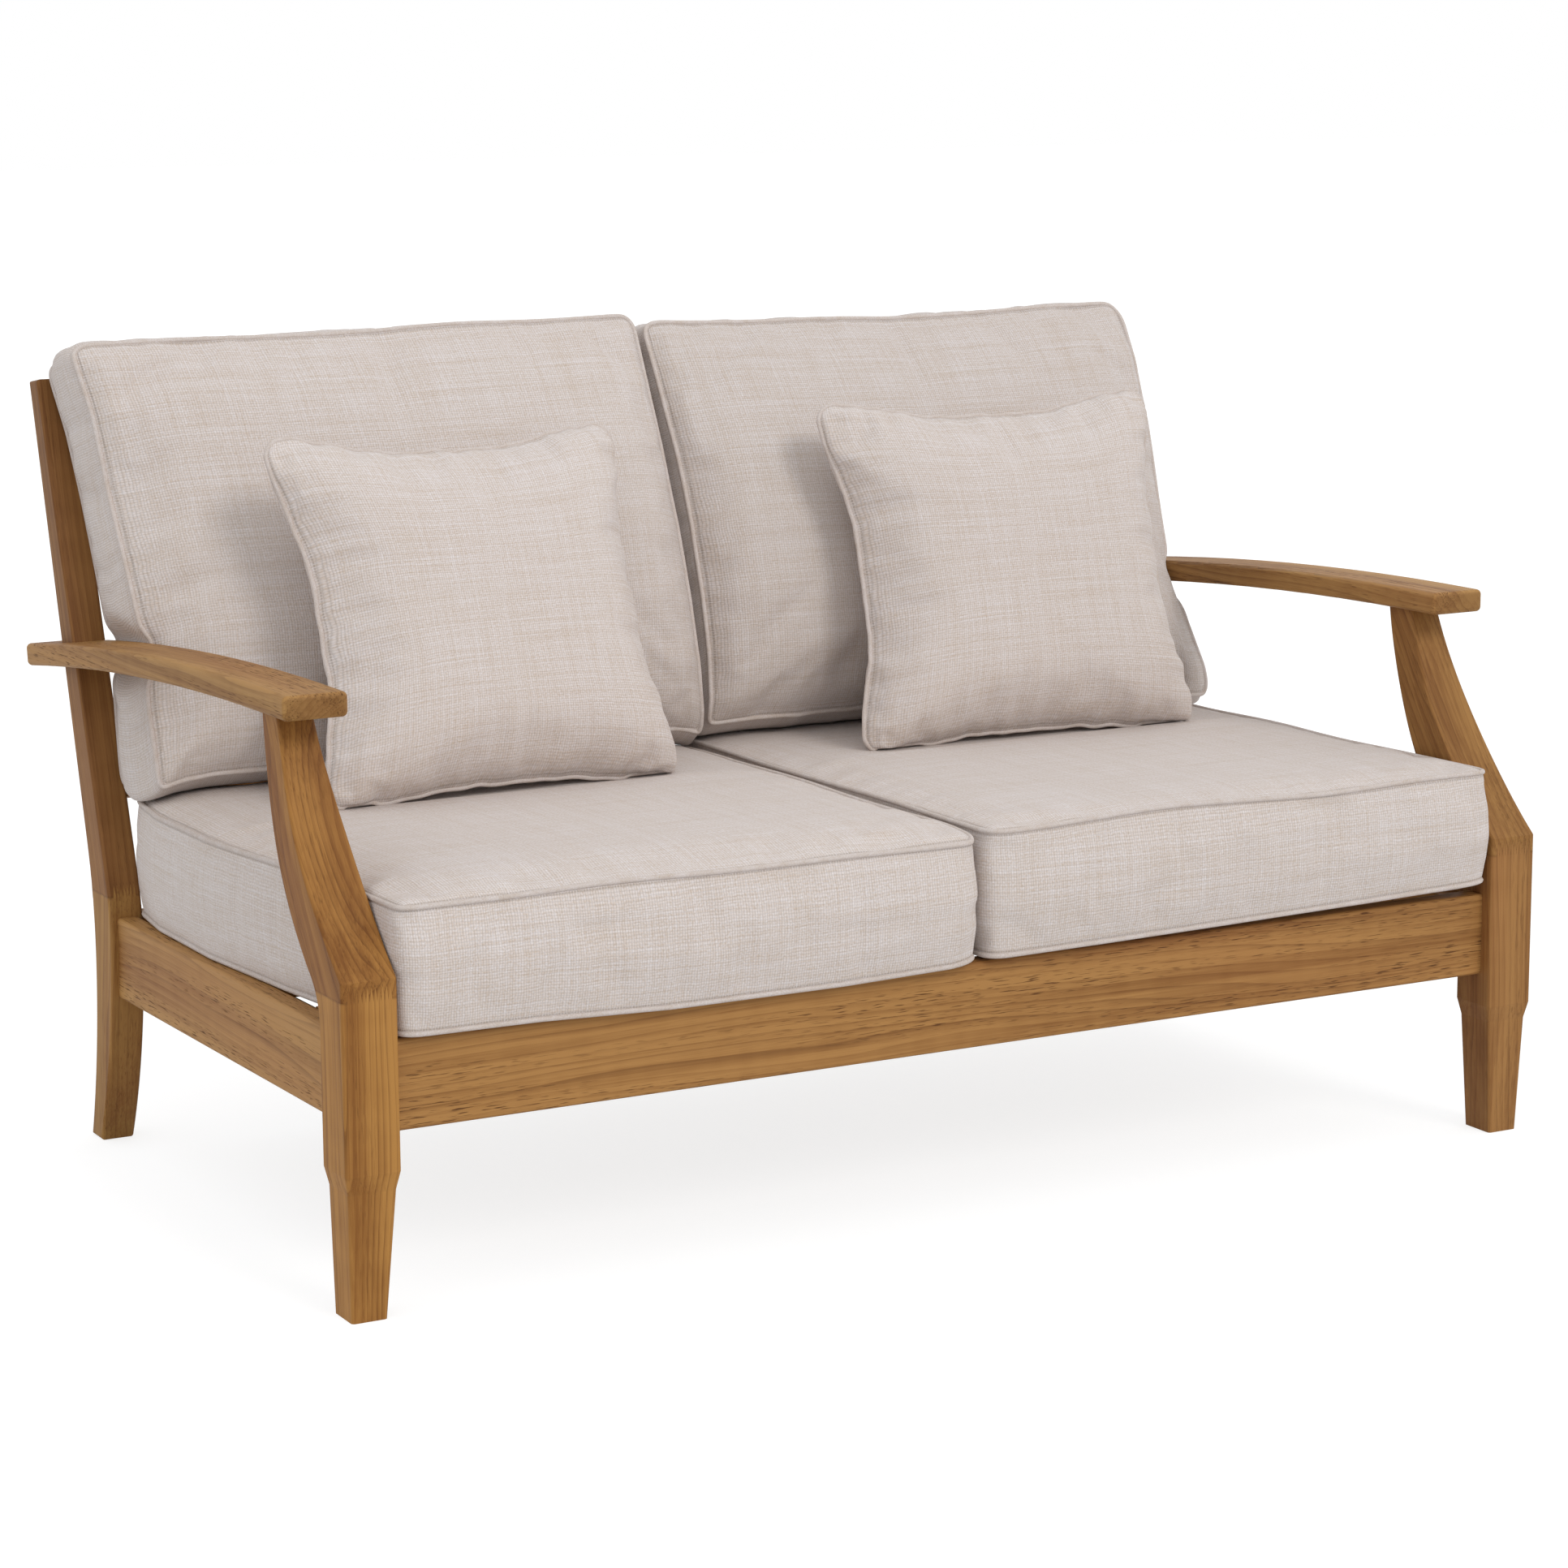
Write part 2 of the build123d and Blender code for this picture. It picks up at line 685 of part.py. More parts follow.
def seat_cushion():
    """The outside of a right seat cushion: a belly on the slats, boxed sides and a crown."""
    half_x = cushion_width / 2 - seat_side_bulge
    half_y = seat_cushion_length / 2
    low = seat_gap + seat_cushion_belly
    high = low + seat_cushion_thickness
    corner = cushion_corner
    belly = [
        soft_outline(half_x - belly_reach * inset, half_y - belly_reach * inset, side_draw, corner,
                     seat_gap + seat_cushion_belly * rise)
        for inset, rise in zip(belly_inset_shares, belly_rise_shares)
    ]
    sides = [
        soft_outline(half_x, half_y, side_draw, corner, low),
        soft_outline(half_x + seat_side_bulge, half_y + seat_front_bulge, bulge_draw, corner,
                     (low + high) / 2),
        soft_outline(half_x, half_y, side_draw, corner, high),
    ]
    crown = [
        soft_outline(half_x - crown_reach * inset, half_y - crown_reach * inset, side_draw, corner,
                     high + seat_cushion_crown * rise)
        for inset, rise in zip(crown_inset_shares, crown_rise_shares)
    ]
    body = loft(belly, ruled=True) + loft(sides) + loft(crown, ruled=True)
    return seat_frame * (seat_place() * body)


def seat_core(fit):
    """The foam slab of a right seat cushion, or with a fit the hollow that it fills."""
    width = cushion_width - 2 * (seat_side_bulge + side_draw + core_wrap - fit)
    length = seat_cushion_length - 2 * (side_draw + core_wrap - fit)
    height = seat_cushion_thickness - 2 * (core_wrap - fit)
    middle = seat_gap + seat_cushion_belly + seat_cushion_thickness / 2
    return seat_frame * (seat_place(middle) * Box(width, length, height))


def back_section(height, seam, crown, inset):
    """A level cut of a back cushion: flat behind, bowed sides and a crowned front."""
    half = cushion_width / 2 - back_side_bulge - inset
    rear, front = seat_gap + inset, seat_gap + seam - inset / 2
    bulge = back_side_bulge
    corners = [(-half, rear), (half, rear), (half, front), (-half, front)]
    middle_f = (rear + front) / 2
    points = [(x, height, f) for x, f in corners]
    edges = [
        Line(points[0], points[1]),
        ThreePointArc(points[1], (half + bulge, height, middle_f), points[2]),
        ThreePointArc(points[2], (0, height, front + crown), points[3]),
        ThreePointArc(points[3], (-half - bulge, height, middle_f), points[0]),
    ]
    return Face(Wire(edges))


def back_cushion():
    """The outside of a right back cushion, thinner at its head, standing flat on the seat."""
    top = back_cushion_foot + back_cushion_height
    sections = [
        back_section(back_cushion_foot + back_cushion_height * height,
                     back_cushion_thickness * seam, back_cushion_crown * crown, 0)
        for height, seam, crown in zip(back_height_shares, back_seam_shares, back_crown_shares)
    ]
    seam = back_cushion_thickness * back_seam_shares[-1]
    crown = back_cushion_crown * back_crown_shares[-1]
    cap = [
        back_section(top, seam, crown, 0),
        back_section(top + back_cap_height, seam, crown, back_cap_inset),
    ]
    body = back_frame * (Pos(cushion_middle, 0, 0) * (loft(sections) + loft(cap, ruled=True)))
    return body - under_seat_top(0)


def back_core(fit):
    """The slab inside a right back cushion, or with a fit the hollow that it fills."""
    wrap = core_wrap - fit
    half = cushion_width / 2 - back_side_bulge - wrap
    front = [
        (back_cushion_foot + back_cushion_height * height, back_cushion_thickness * seam - wrap)
        for height, seam in zip(back_height_shares, back_seam_shares)
    ]
    low, high = front[0][0], front[-1][0] - wrap
    front[-1] = (high, front[-1][1])
    points = [(low, wrap), *front, (high, wrap)]
    face = make_face(Polyline(*[(-half, height, depth) for height, depth in points], close=True))
    slab = extrude(face, amount=2 * half, dir=(1, 0, 0))
    return back_frame * (Pos(cushion_middle, 0, 0) * slab) - under_seat_top(wrap)


def seat_top(skin):
    """How high the flat crown of a seat cushion lies over the plane of the seat."""
    return 2 * seat_gap + seat_cushion_belly + seat_cushion_thickness + seat_cushion_crown + skin


def under_seat_top(skin):
    """All that lies under the level at which things stand on the seat cushions."""
    deep = 2 * seat_cushion_thickness
    slab = Box(outer_span, 2 * side_rail_length, deep)
    return seat_frame * (Pos(0, side_rail_length / 2, seat_top(skin) - deep / 2) * slab)


def back_cushion_reach(normal):
    """How far the front of a back cushion reaches along a direction in depth and height."""
    far = []
    for height, seam, crown in zip(back_height_shares, back_seam_shares, back_crown_shares):
        up = back_cushion_foot + back_cushion_height * height
        front = seat_gap + back_cushion_thickness * seam + back_cushion_crown * crown
        point = back_frame.from_local_coords((0, up, front))
        far.append(point.Y * normal[0] + point.Z * normal[1])
    return max(far)


def pillow_plane(x):
    """The middle plane of a pillow that stands on the seat and leans on the back cushion."""
    lean = radians(pillow_lean)
    normal, up = (-cos(lean), sin(lean)), (sin(lean), cos(lean))
    out = back_cushion_reach(normal) + pillow_contact_gap + pillow_half_thickness
    half = pillow_size / 2
    fall = tan(radians(seat_tilt))
    base = rail_top + fall * front_leg_depth + seat_top(0) / cos(radians(seat_tilt))
    lift = half * up[1] + pillow_rim * normal[1]
    foot = half * up[0] - pillow_rim * normal[0]
    along = (base + lift - out * normal[1] - fall * (out * normal[0] - foot)) / (up[1] + fall * up[0])
    y = out * normal[0] + along * up[0]
    z = out * normal[1] + along * up[1]
    return Plane(origin=(x, y, z), x_dir=(1, 0, 0), z_dir=(0, normal[0], normal[1]))


def pillow(x, skin, insets, rises):
    """A knife-edged square pillow with drawn-in sides, crowned on both faces."""
    half = pillow_size / 2 - skin
    thick = pillow_half_thickness - skin
    rim = pillow_rim - skin

    def face_side(sign):
        return [
            soft_outline(half * (1 - inset), half * (1 - inset), pillow_draw * (1 - inset),
                         pillow_corner * (1 - inset), sign * (rim + (thick - rim) * rise))
            for inset, rise in zip(insets, rises)
        ]

    band = loft([face_side(-1)[0], face_side(1)[0]], ruled=True)
    body = band + loft(face_side(1), ruled=True) + loft(face_side(-1), ruled=True)
    return pillow_plane(x) * body


def settled(outside, seat, back):
    """The move that lets a pillow down onto the seat and then back against the back cushion."""
    drop = outside.distance_to(seat) - seat_gap
    lowered = Pos(0, 0, -drop) * outside
    return Pos(0, lowered.distance_to(back) - pillow_contact_gap, -drop)


# Assembly

os.makedirs("parts", exist_ok=True)


def write(name, *solids):
    """Write one sub-part, moved so that the origin lies under the middle of the box."""
    pieces = [solid for item in solids for solid in item.solids()]
    whole = Compound(children=pieces) if len(pieces) > 1 else pieces[0]
    shape = Pos(0, -middle_y, 0) * whole
    shape.label = name
    export_step(shape, os.path.join("parts", name + ".step"))


def write_pair(name, right):
    """Write a piece of the right side and its mirror image."""
    write(name + "_right", right)
    write(name + "_left", mirrored(right))


def cut(solid, tools):
    """A solid with every tool taken out of it."""
    for tool in tools:
        solid = solid - tool
    return solid


front_blank, shaped_blank, rear_blank = front_leg_blank(), support_blank(), rear_leg_blank()
front_side_tenon, rear_side_tenon = side_rail_front_tenon(), side_rail_rear_tenon()

front_fingers = below_fingers(leg_inner, half_span, -overrun, side_rail_length, front_joint_height)
front_leg = cut(front_blank & front_fingers, [
    grown(front_rail_tenon_block(), joint_fit), grown(front_side_tenon, joint_fit),
    front_bolt(joint_fit),
])
write_pair("front_leg", front_leg)
support = (front_blank - front_fingers) + shaped_blank
write_pair("arm_support", cut(support, [above_arm_underside(), *arm_dowels(joint_fit)]))

low_tenons = back_tenons(back_bottom_rail_rise, back_bottom_rail_width, joint_fit)
high_tenons = back_tenons(back_top_rail_low, back_top_rail_width, joint_fit)
rear_fingers = below_fingers(rear_leg_inner, rear_leg_outer, rear_leg_front - overrun,
                             rear_leg_front + rear_leg_depth + side_rail_length, rear_joint_height)
rear_leg = cut(rear_blank & rear_fingers, [
    grown(rear_side_tenon, joint_fit), grown(rear_rail_tenon_block(), joint_fit),
    rear_bolt(joint_fit),
])
write_pair("rear_leg", rear_leg)
write_pair("back_post", cut(rear_blank - rear_fingers, [low_tenons, high_tenons, arm_screw(joint_fit)]))

arm = cut(arm_blank(), [arm_notch(), arm_screw(joint_fit), *arm_dowels(joint_fit)])
write_pair("arm", arm)

write("front_rail", front_rail())
write("rear_rail", cut(rear_rail(), [rear_bolt(joint_fit), mirrored(rear_bolt(joint_fit))]))
write_pair("side_rail", cut(side_rail(front_blank, rear_blank),
                            [front_bolt(joint_fit), rear_bolt(joint_fit)]))

screw_holes = slat_screws(joint_fit)
for number, place in enumerate(slat_places(), start=1):
    write(f"seat_slat_{number}", cut(seat_slat(place), screw_holes))
cleat = slat_cleat(front_blank, rear_blank)
write("slat_cleat_right", cut(cleat, screw_holes))
write("slat_cleat_left", cut(mirrored(cleat), screw_holes))
write("centre_bearer", cut(centre_bearer(), screw_holes))
write("slat_screws", *slat_screws(0))

write_pair("front_corner_block", front_corner_block() - front_bolt(joint_fit))
write_pair("rear_corner_block", rear_corner_block(rear_blank) - rear_bolt(joint_fit))
bolts = [front_bolt(0), rear_bolt(0)]
write("corner_bolts", *bolts, *[mirrored(bolt) for bolt in bolts])

housings = [back_slat(index, joint_fit) for index in range(back_slat_count)]
write("back_bottom_rail", cut(back_rail(back_bottom_rail_rise, back_bottom_rail_width), housings))
write("back_top_rail", cut(back_rail(back_top_rail_low, back_top_rail_width), housings))
for index in range(back_slat_count):
    write(f"back_slat_{index + 1}", back_slat(index, 0))

dowels = arm_dowels(0)
write("arm_dowels", *dowels, *[mirrored(dowel) for dowel in dowels])
write("arm_screws", arm_screw(0), mirrored(arm_screw(0)))

seat_outside, back_outside = seat_cushion(), back_cushion()
write_pair("seat_cushion_cover", seat_outside - seat_core(seat_gap))
write_pair("seat_cushion_core", seat_core(0))
write_pair("back_cushion_cover", back_outside - back_core(seat_gap))
write_pair("back_cushion_core", back_core(0))

insert_rows = (insert_inset_shares, insert_rise_shares)
for side, offset in (("left", pillow_left_offset), ("right", pillow_right_offset)):
    x = cushion_middle + (offset if side == "right" else -offset)
    outside = pillow(x, 0, pillow_inset_shares, pillow_rise_shares)
    move = settled(outside, seat_outside, back_outside)
    pieces = {
        "throw_pillow_cover": move * (outside - pillow(x, cover_thickness, *insert_rows)),
        "throw_pillow_insert": move * pillow(x, cover_thickness + seat_gap, *insert_rows),
    }
    for name, solid in pieces.items():
        write(f"{name}_{side}", solid if side == "right" else mirrored(solid))

print("origin lies", round(middle_y, 3), "behind the front legs' front faces")
print("foot middles", [(round(x, 3), round(y - middle_y, 3)) for x, y in foot_middles()])
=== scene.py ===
import math

import bpy
import numpy as np
from bpy.props import FloatProperty, FloatVectorProperty, PointerProperty
from mathutils import Matrix, Vector, noise
from mathutils.bvhtree import BVHTree


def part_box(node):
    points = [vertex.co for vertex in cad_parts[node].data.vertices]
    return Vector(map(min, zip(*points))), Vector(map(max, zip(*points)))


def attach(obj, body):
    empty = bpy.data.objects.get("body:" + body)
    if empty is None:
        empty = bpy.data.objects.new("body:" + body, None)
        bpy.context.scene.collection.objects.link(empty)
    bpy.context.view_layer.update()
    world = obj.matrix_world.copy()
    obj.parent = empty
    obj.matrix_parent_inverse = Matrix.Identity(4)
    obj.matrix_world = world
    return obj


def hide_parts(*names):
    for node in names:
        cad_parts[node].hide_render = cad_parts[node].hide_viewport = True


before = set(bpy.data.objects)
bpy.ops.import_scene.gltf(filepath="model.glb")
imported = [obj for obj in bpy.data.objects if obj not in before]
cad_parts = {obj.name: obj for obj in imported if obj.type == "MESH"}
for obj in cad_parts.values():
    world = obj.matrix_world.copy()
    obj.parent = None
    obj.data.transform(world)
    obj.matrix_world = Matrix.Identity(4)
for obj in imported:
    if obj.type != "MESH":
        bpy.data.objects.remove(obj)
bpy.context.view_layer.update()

bl_info = {
    "name": "Patio loveseat",
    "version": (1, 0, 0),
    "blender": (4, 5, 0),
    "location": "3D View > Sidebar > Loveseat",
    "description": "Teak, cushions, throw pillows and a plain stage for a two-seat patio loveseat",
    "category": "Object",
}

SIDES = {"left": -1, "right": 1}


# Settings

def colour_setting(name, description, colour):
    """A colour that the user may change."""
    return FloatVectorProperty(name=name, description=description, default=colour, size=3,
                               subtype="COLOR", min=0, max=1)


def size_setting(name, description, default, low, high):
    """A size in metres that the user may change."""
    return FloatProperty(name=name, description=description, default=default, min=low, max=high,
                         subtype="DISTANCE", unit="LENGTH")


def level_setting(name, description, default, low, high):
    """A plain number that the user may change."""
    return FloatProperty(name=name, description=description, default=default, min=low, max=high)


class LoveseatTeak(bpy.types.PropertyGroup):
    """Tones and figure of the oiled teak."""

    light: colour_setting("Light Tone", "Colour of the early wood", (0.405, 0.201, 0.0565))
    middle: colour_setting("Middle Tone", "Colour of the broad bands", (0.222, 0.0905, 0.0212))
    dark: colour_setting("Dark Tone", "Colour of late wood and pores", (0.079, 0.027, 0.0075))
    ring_width: size_setting("Ring Width", "Distance between two growth rings", 0.0062, 0.001, 0.03)
    figure: level_setting("Figure", "How strongly the growth rings show", 0.62, 0, 1)


class LoveseatCloth(bpy.types.PropertyGroup):
    """Tones and weave of the outdoor cloth, and its piping."""

    light: colour_setting("Light Threads", "Colour of the pale threads", (0.715, 0.657, 0.645))
    dark: colour_setting("Dark Threads", "Colour of the greige threads", (0.560, 0.455, 0.376))
    pitch: size_setting("Thread Pitch", "Distance between two threads", 0.0029, 0.0005, 0.01)
    piping: size_setting("Piping Radius", "Half the thickness of the piping", 0.0030, 0.001, 0.01)


class LoveseatSeat(bpy.types.PropertyGroup):
    """Sizes of the two seat cushions."""

    width: size_setting("Width", "Across the seams, from side to side", 0.6736, 0.3, 1)
    length: size_setting("Length", "From the front seam to the rear seam", 0.748, 0.3, 1)
    belly: size_setting("Belly", "Height of the lower seam over the slats", 0.0083, 0, 0.05)
    boxing: size_setting("Boxing", "Height of the strip between the seams", 0.127, 0.05, 0.2)
    crown: size_setting("Crown", "Rise of the top panel over its seam", 0.0165, 0, 0.05)
    lift: size_setting("Lift", "How much higher the right cushion stands", 0.011, 0, 0.03)


class LoveseatBack(bpy.types.PropertyGroup):
    """Sizes of the two back cushions."""

    foot: size_setting("Foot", "Start of the cushion along the leaning back", 0.064, 0, 0.2)
    height: size_setting("Height", "Along the leaning back, seam to seam", 0.546, 0.3, 0.8)
    thickness: size_setting("Thickness", "Boxing depth at the lumbar", 0.155, 0.05, 0.3)
    crown: size_setting("Crown", "Rise of the front panel over its seam", 0.052, 0, 0.1)


class LoveseatPillow(bpy.types.PropertyGroup):
    """Sizes of the two throw pillows."""

    width: size_setting("Width", "Across the cover, from tip to tip", 0.447, 0.2, 0.7)
    height: size_setting("Height", "Up the cover, from tip to tip", 0.430, 0.2, 0.7)
    half_thickness: size_setting("Half Thickness", "Middle plane to crown", 0.075, 0.02, 0.15)


class LoveseatStage(bpy.types.PropertyGroup):
    """The floor, the light and the camera."""

    sky: level_setting("Sky Light", "Level of the light from all round", 0.95, 0, 3)
    sun: level_setting("Key Light", "Level of the soft light from the front right", 0.80, 0, 10)
    lens: level_setting("Lens", "Focal length on a 36 mm wide frame", 93.43, 20, 300)


# Shared helpers

def only(piece):
    """Leaves one object selected and active."""
    bpy.ops.object.select_all(action="DESELECT")
    piece.select_set(True)
    bpy.context.view_layer.objects.active = piece


def coordinates(piece):
    """The places of a mesh's points, one row each."""
    flat = np.empty(len(piece.data.vertices) * 3)
    piece.data.vertices.foreach_get("co", flat)
    return flat.reshape(-1, 3)


def move_points(piece, places):
    """Puts a mesh's points at the given places."""
    piece.data.vertices.foreach_set("co", np.ascontiguousarray(places).ravel())
    piece.data.update()


class Value:
    """A number that a node puts out; arithmetic on it adds Math nodes."""

    def __init__(self, socket):
        self.socket = socket

    def math(self, operation, other=None):
        return calculated(self.socket.id_data, operation, self, other)

    def __add__(self, other):
        return self.math("ADD", other)

    def __sub__(self, other):
        return self.math("SUBTRACT", other)

    def __rsub__(self, other):
        return calculated(self.socket.id_data, "SUBTRACT", other, self)

    def __mul__(self, other):
        return self.math("MULTIPLY", other)

    def __truediv__(self, other):
        return self.math("DIVIDE", other)

    def __pow__(self, other):
        return self.math("POWER", other)

    def __abs__(self):
        return self.math("ABSOLUTE")

    def spread(self, low, high, to_low=0.0, to_high=1.0):
        """The value carried from one range to another, and kept in it."""
        node = add(self.socket.id_data, "ShaderNodeMapRange",
                   {0: self, 1: low, 2: high, 3: to_low, 4: to_high})
        return Value(node.outputs[0])

    def chance(self):
        """A random number for each whole step of the value."""
        node = add(self.socket.id_data, "ShaderNodeTexWhiteNoise", {1: self},
                   noise_dimensions="1D")
        return Value(node.outputs[0])


def feed(socket, value):
    """Sets an input to a number, a vector, a colour or another node's output."""
    if isinstance(value, Value):
        value = value.socket
    if isinstance(value, bpy.types.NodeSocket):
        socket.id_data.links.new(value, socket)
    elif socket.type == "RGBA" and len(value) == 3:
        socket.default_value = (*value, 1)
    else:
        socket.default_value = value


def add(tree, kind, inputs=None, **settings):
    """A new node with its settings, and its inputs by name or number."""
    node = tree.nodes.new(kind)
    for key, value in settings.items():
        setattr(node, key, value)
    for key, value in (inputs or {}).items():
        feed(node.inputs[key], value)
    return node


def calculated(tree, operation, first, second=None):
    """The result of a Math node."""
    inputs = {0: first} if second is None else {0: first, 1: second}
    return Value(add(tree, "ShaderNodeMath", inputs, operation=operation).outputs[0])


def blended(tree, factor, first, second, kind="MIX"):
    """The colour between two colours."""
    node = add(tree, "ShaderNodeMix", data_type="RGBA", blend_type=kind)
    for index, value in ((0, factor), (6, first), (7, second)):
        feed(node.inputs[index], value)
    return node.outputs[2]


def moved(tree, operation, vector, by):
    """A vector with another one added, taken away or multiplied in."""
    return add(tree, "ShaderNodeVectorMath", {0: vector, 1: by}, operation=operation).outputs[0]


def parts_of(tree, vector):
    """The three parts of a vector."""
    return [Value(part) for part in add(tree, "ShaderNodeSeparateXYZ", {0: vector}).outputs]


def stretched_noise(tree, vector, scale, detail=2.0, roughness=0.5):
    """Noise that is drawn out by its own scale along each axis."""
    node = add(tree, "ShaderNodeTexNoise",
               {"Vector": moved(tree, "MULTIPLY", vector, scale), "Scale": 1.0, "Detail": detail,
                "Roughness": roughness})
    return Value(node.outputs[0])


def tinted(colour, tint):
    """A colour multiplied by one share, or by a share for each part."""
    return tuple(np.multiply(tuple(colour), tint).tolist())


def new_material(name):
    """A material with its node tree and its Principled shader."""
    material = bpy.data.materials.new(name)
    material.use_nodes = True
    tree = material.node_tree
    return material, tree, tree.nodes["Principled BSDF"]


def set_levels(shader, levels):
    """Writes plain numbers on a shader's own sockets."""
    for label, level in levels.items():
        shader.inputs[label].default_value = level


def relief(tree, shader, height, strength, distance):
    """Gives a shader its bump from a height."""
    bump = add(tree, "ShaderNodeBump",
               {"Strength": strength, "Distance": distance, "Height": height})
    feed(shader.inputs["Normal"], bump.outputs[0])


def group(name):
    """A shader node group, built the first time it is asked for."""
    if name not in bpy.data.node_groups:
        inputs, outputs, build = NODE_GROUPS[name]
        tree = bpy.data.node_groups.new(name, "ShaderNodeTree")
        for way, labels in (("INPUT", inputs), ("OUTPUT", outputs)):
            for label, kind in labels.items():
                tree.interface.new_socket(label, in_out=way, socket_type="NodeSocket" + kind)
        given = tree.nodes.new("NodeGroupInput").outputs
        build(tree, given, tree.nodes.new("NodeGroupOutput").inputs)
    return bpy.data.node_groups[name]


# Teak

def build_grain(tree, given, result):
    """Teak cut from a log whose length runs along the first axis of the vector."""
    vector = given["Vector"]
    drift = add(tree, "ShaderNodeTexNoise",
                {"Vector": moved(tree, "MULTIPLY", vector, (1.1, 5.0, 5.0)), "Scale": 1.0,
                 "Detail": 2.0, "Roughness": 0.45})
    centred = moved(tree, "SUBTRACT", drift.outputs[1], (0.5, 0.5, 0.5))
    bent = moved(tree, "ADD", vector, moved(tree, "MULTIPLY", centred, (0.0, 0.075, 0.075)))
    cross = moved(tree, "MULTIPLY", bent, (0.0, 1.0, 1.0))
    distance = Value(add(tree, "ShaderNodeVectorMath", {0: cross}, operation="LENGTH").outputs[1])
    uneven = stretched_noise(tree, vector, (0.7, 24.0, 24.0))
    phase = distance / given["Ring Width"] + uneven * 3.4
    within = phase.math("FRACT")
    late = within ** 5.0 * within.spread(1.0, 0.93) * phase.math("FLOOR").chance() ** 2.2

    bands = stretched_noise(tree, vector, (0.8, 26.0, 26.0))
    streaks = stretched_noise(tree, vector, (1.7, 110.0, 110.0), 3.0, 0.6)
    fibres = stretched_noise(tree, vector, (6.0, 700.0, 700.0), 2.0, 0.6)
    pores = stretched_noise(tree, vector, (42.0, 640.0, 640.0), 1.0)
    clusters = stretched_noise(tree, vector, (1.6, 34.0, 34.0), 1.0)
    ripple = stretched_noise(tree, vector, (34.0, 14.0, 14.0), 1.0)
    reddish = stretched_noise(tree, vector, (1.4, 9.0, 9.0), 1.0)

    tone = within ** 2.0 * 0.12
    for part, share in ((bands, 0.85), (streaks, 0.5), (fibres, 0.24), (ripple, 0.14)):
        tone = part * share + tone
    colour = blended(tree, tone.spread(0.76, 1.10), given["Light"], given["Middle"])
    colour = blended(tree, reddish.spread(0.5, 0.75) * 0.25, colour, (0.32, 0.115, 0.036))
    rings = late * given["Figure"]
    colour = blended(tree, rings, colour, given["Dark"])
    pore = pores.spread(0.58, 0.68) * clusters.spread(0.44, 0.60, 0.06, 0.85) * given["Pores"]
    feed(result["Color"], blended(tree, pore, colour, given["Dark"]))
    feed(result["Roughness"], fibres * 0.18 + pore * 0.2 + 0.47)
    feed(result["Height"], fibres * 0.5 - (pore + rings * 0.4))


GRAIN_TURNS = {
    "across": (0.0, 0.0, 0.0),
    "along": (0.0, 0.0, math.radians(-90)),
    "upright": (0.0, math.radians(90), 0.0),
}
BACK_LEAN = math.radians(17.74)
SUPPORT_LEAN = 0.6
REAR_LEG_LEAN = -0.12
UPRIGHT_PORES = 0.4
END_SHADE = 0.74


FINGER_LENGTH = 0.015
FRONT_FINGERS = (0.337, 0.695, 0.744, 0.049 / 12)
REAR_FINGERS = (0.303, 0.6994, 0.7274, 0.004)
FINGERED = {
    "front_leg": FRONT_FINGERS, "arm_support": FRONT_FINGERS,
    "rear_leg": REAR_FINGERS, "back_post": REAR_FINGERS,
}


def build_fingers(tree, given, result):
    """Thin glue lines of a row of pointed fingers, on Object coordinates."""
    x, _, z = parts_of(tree, given["Vector"])
    across = abs(x)
    share = ((across - given["Inner"]) / given["Step"]).math("FRACT")
    inside = across.math("GREATER_THAN", given["Inner"]) * across.math("LESS_THAN", given["Outer"])
    rise = (1.0 - abs(share * 2.0 - 1.0)) * inside
    away = abs(z - (rise * FINGER_LENGTH + given["Root"]))
    glue = away.spread(0.0034, 0.0008) * 0.22 * inside
    near_end = rise.spread(0.86, 0.97).math("MAXIMUM", rise.spread(0.14, 0.03))
    tips = away.spread(0.0022, 0.0004) * near_end * inside.spread(0.0, 1.0, 0.3, 0.8)
    feed(result["Mask"], glue.math("MAXIMUM", tips))


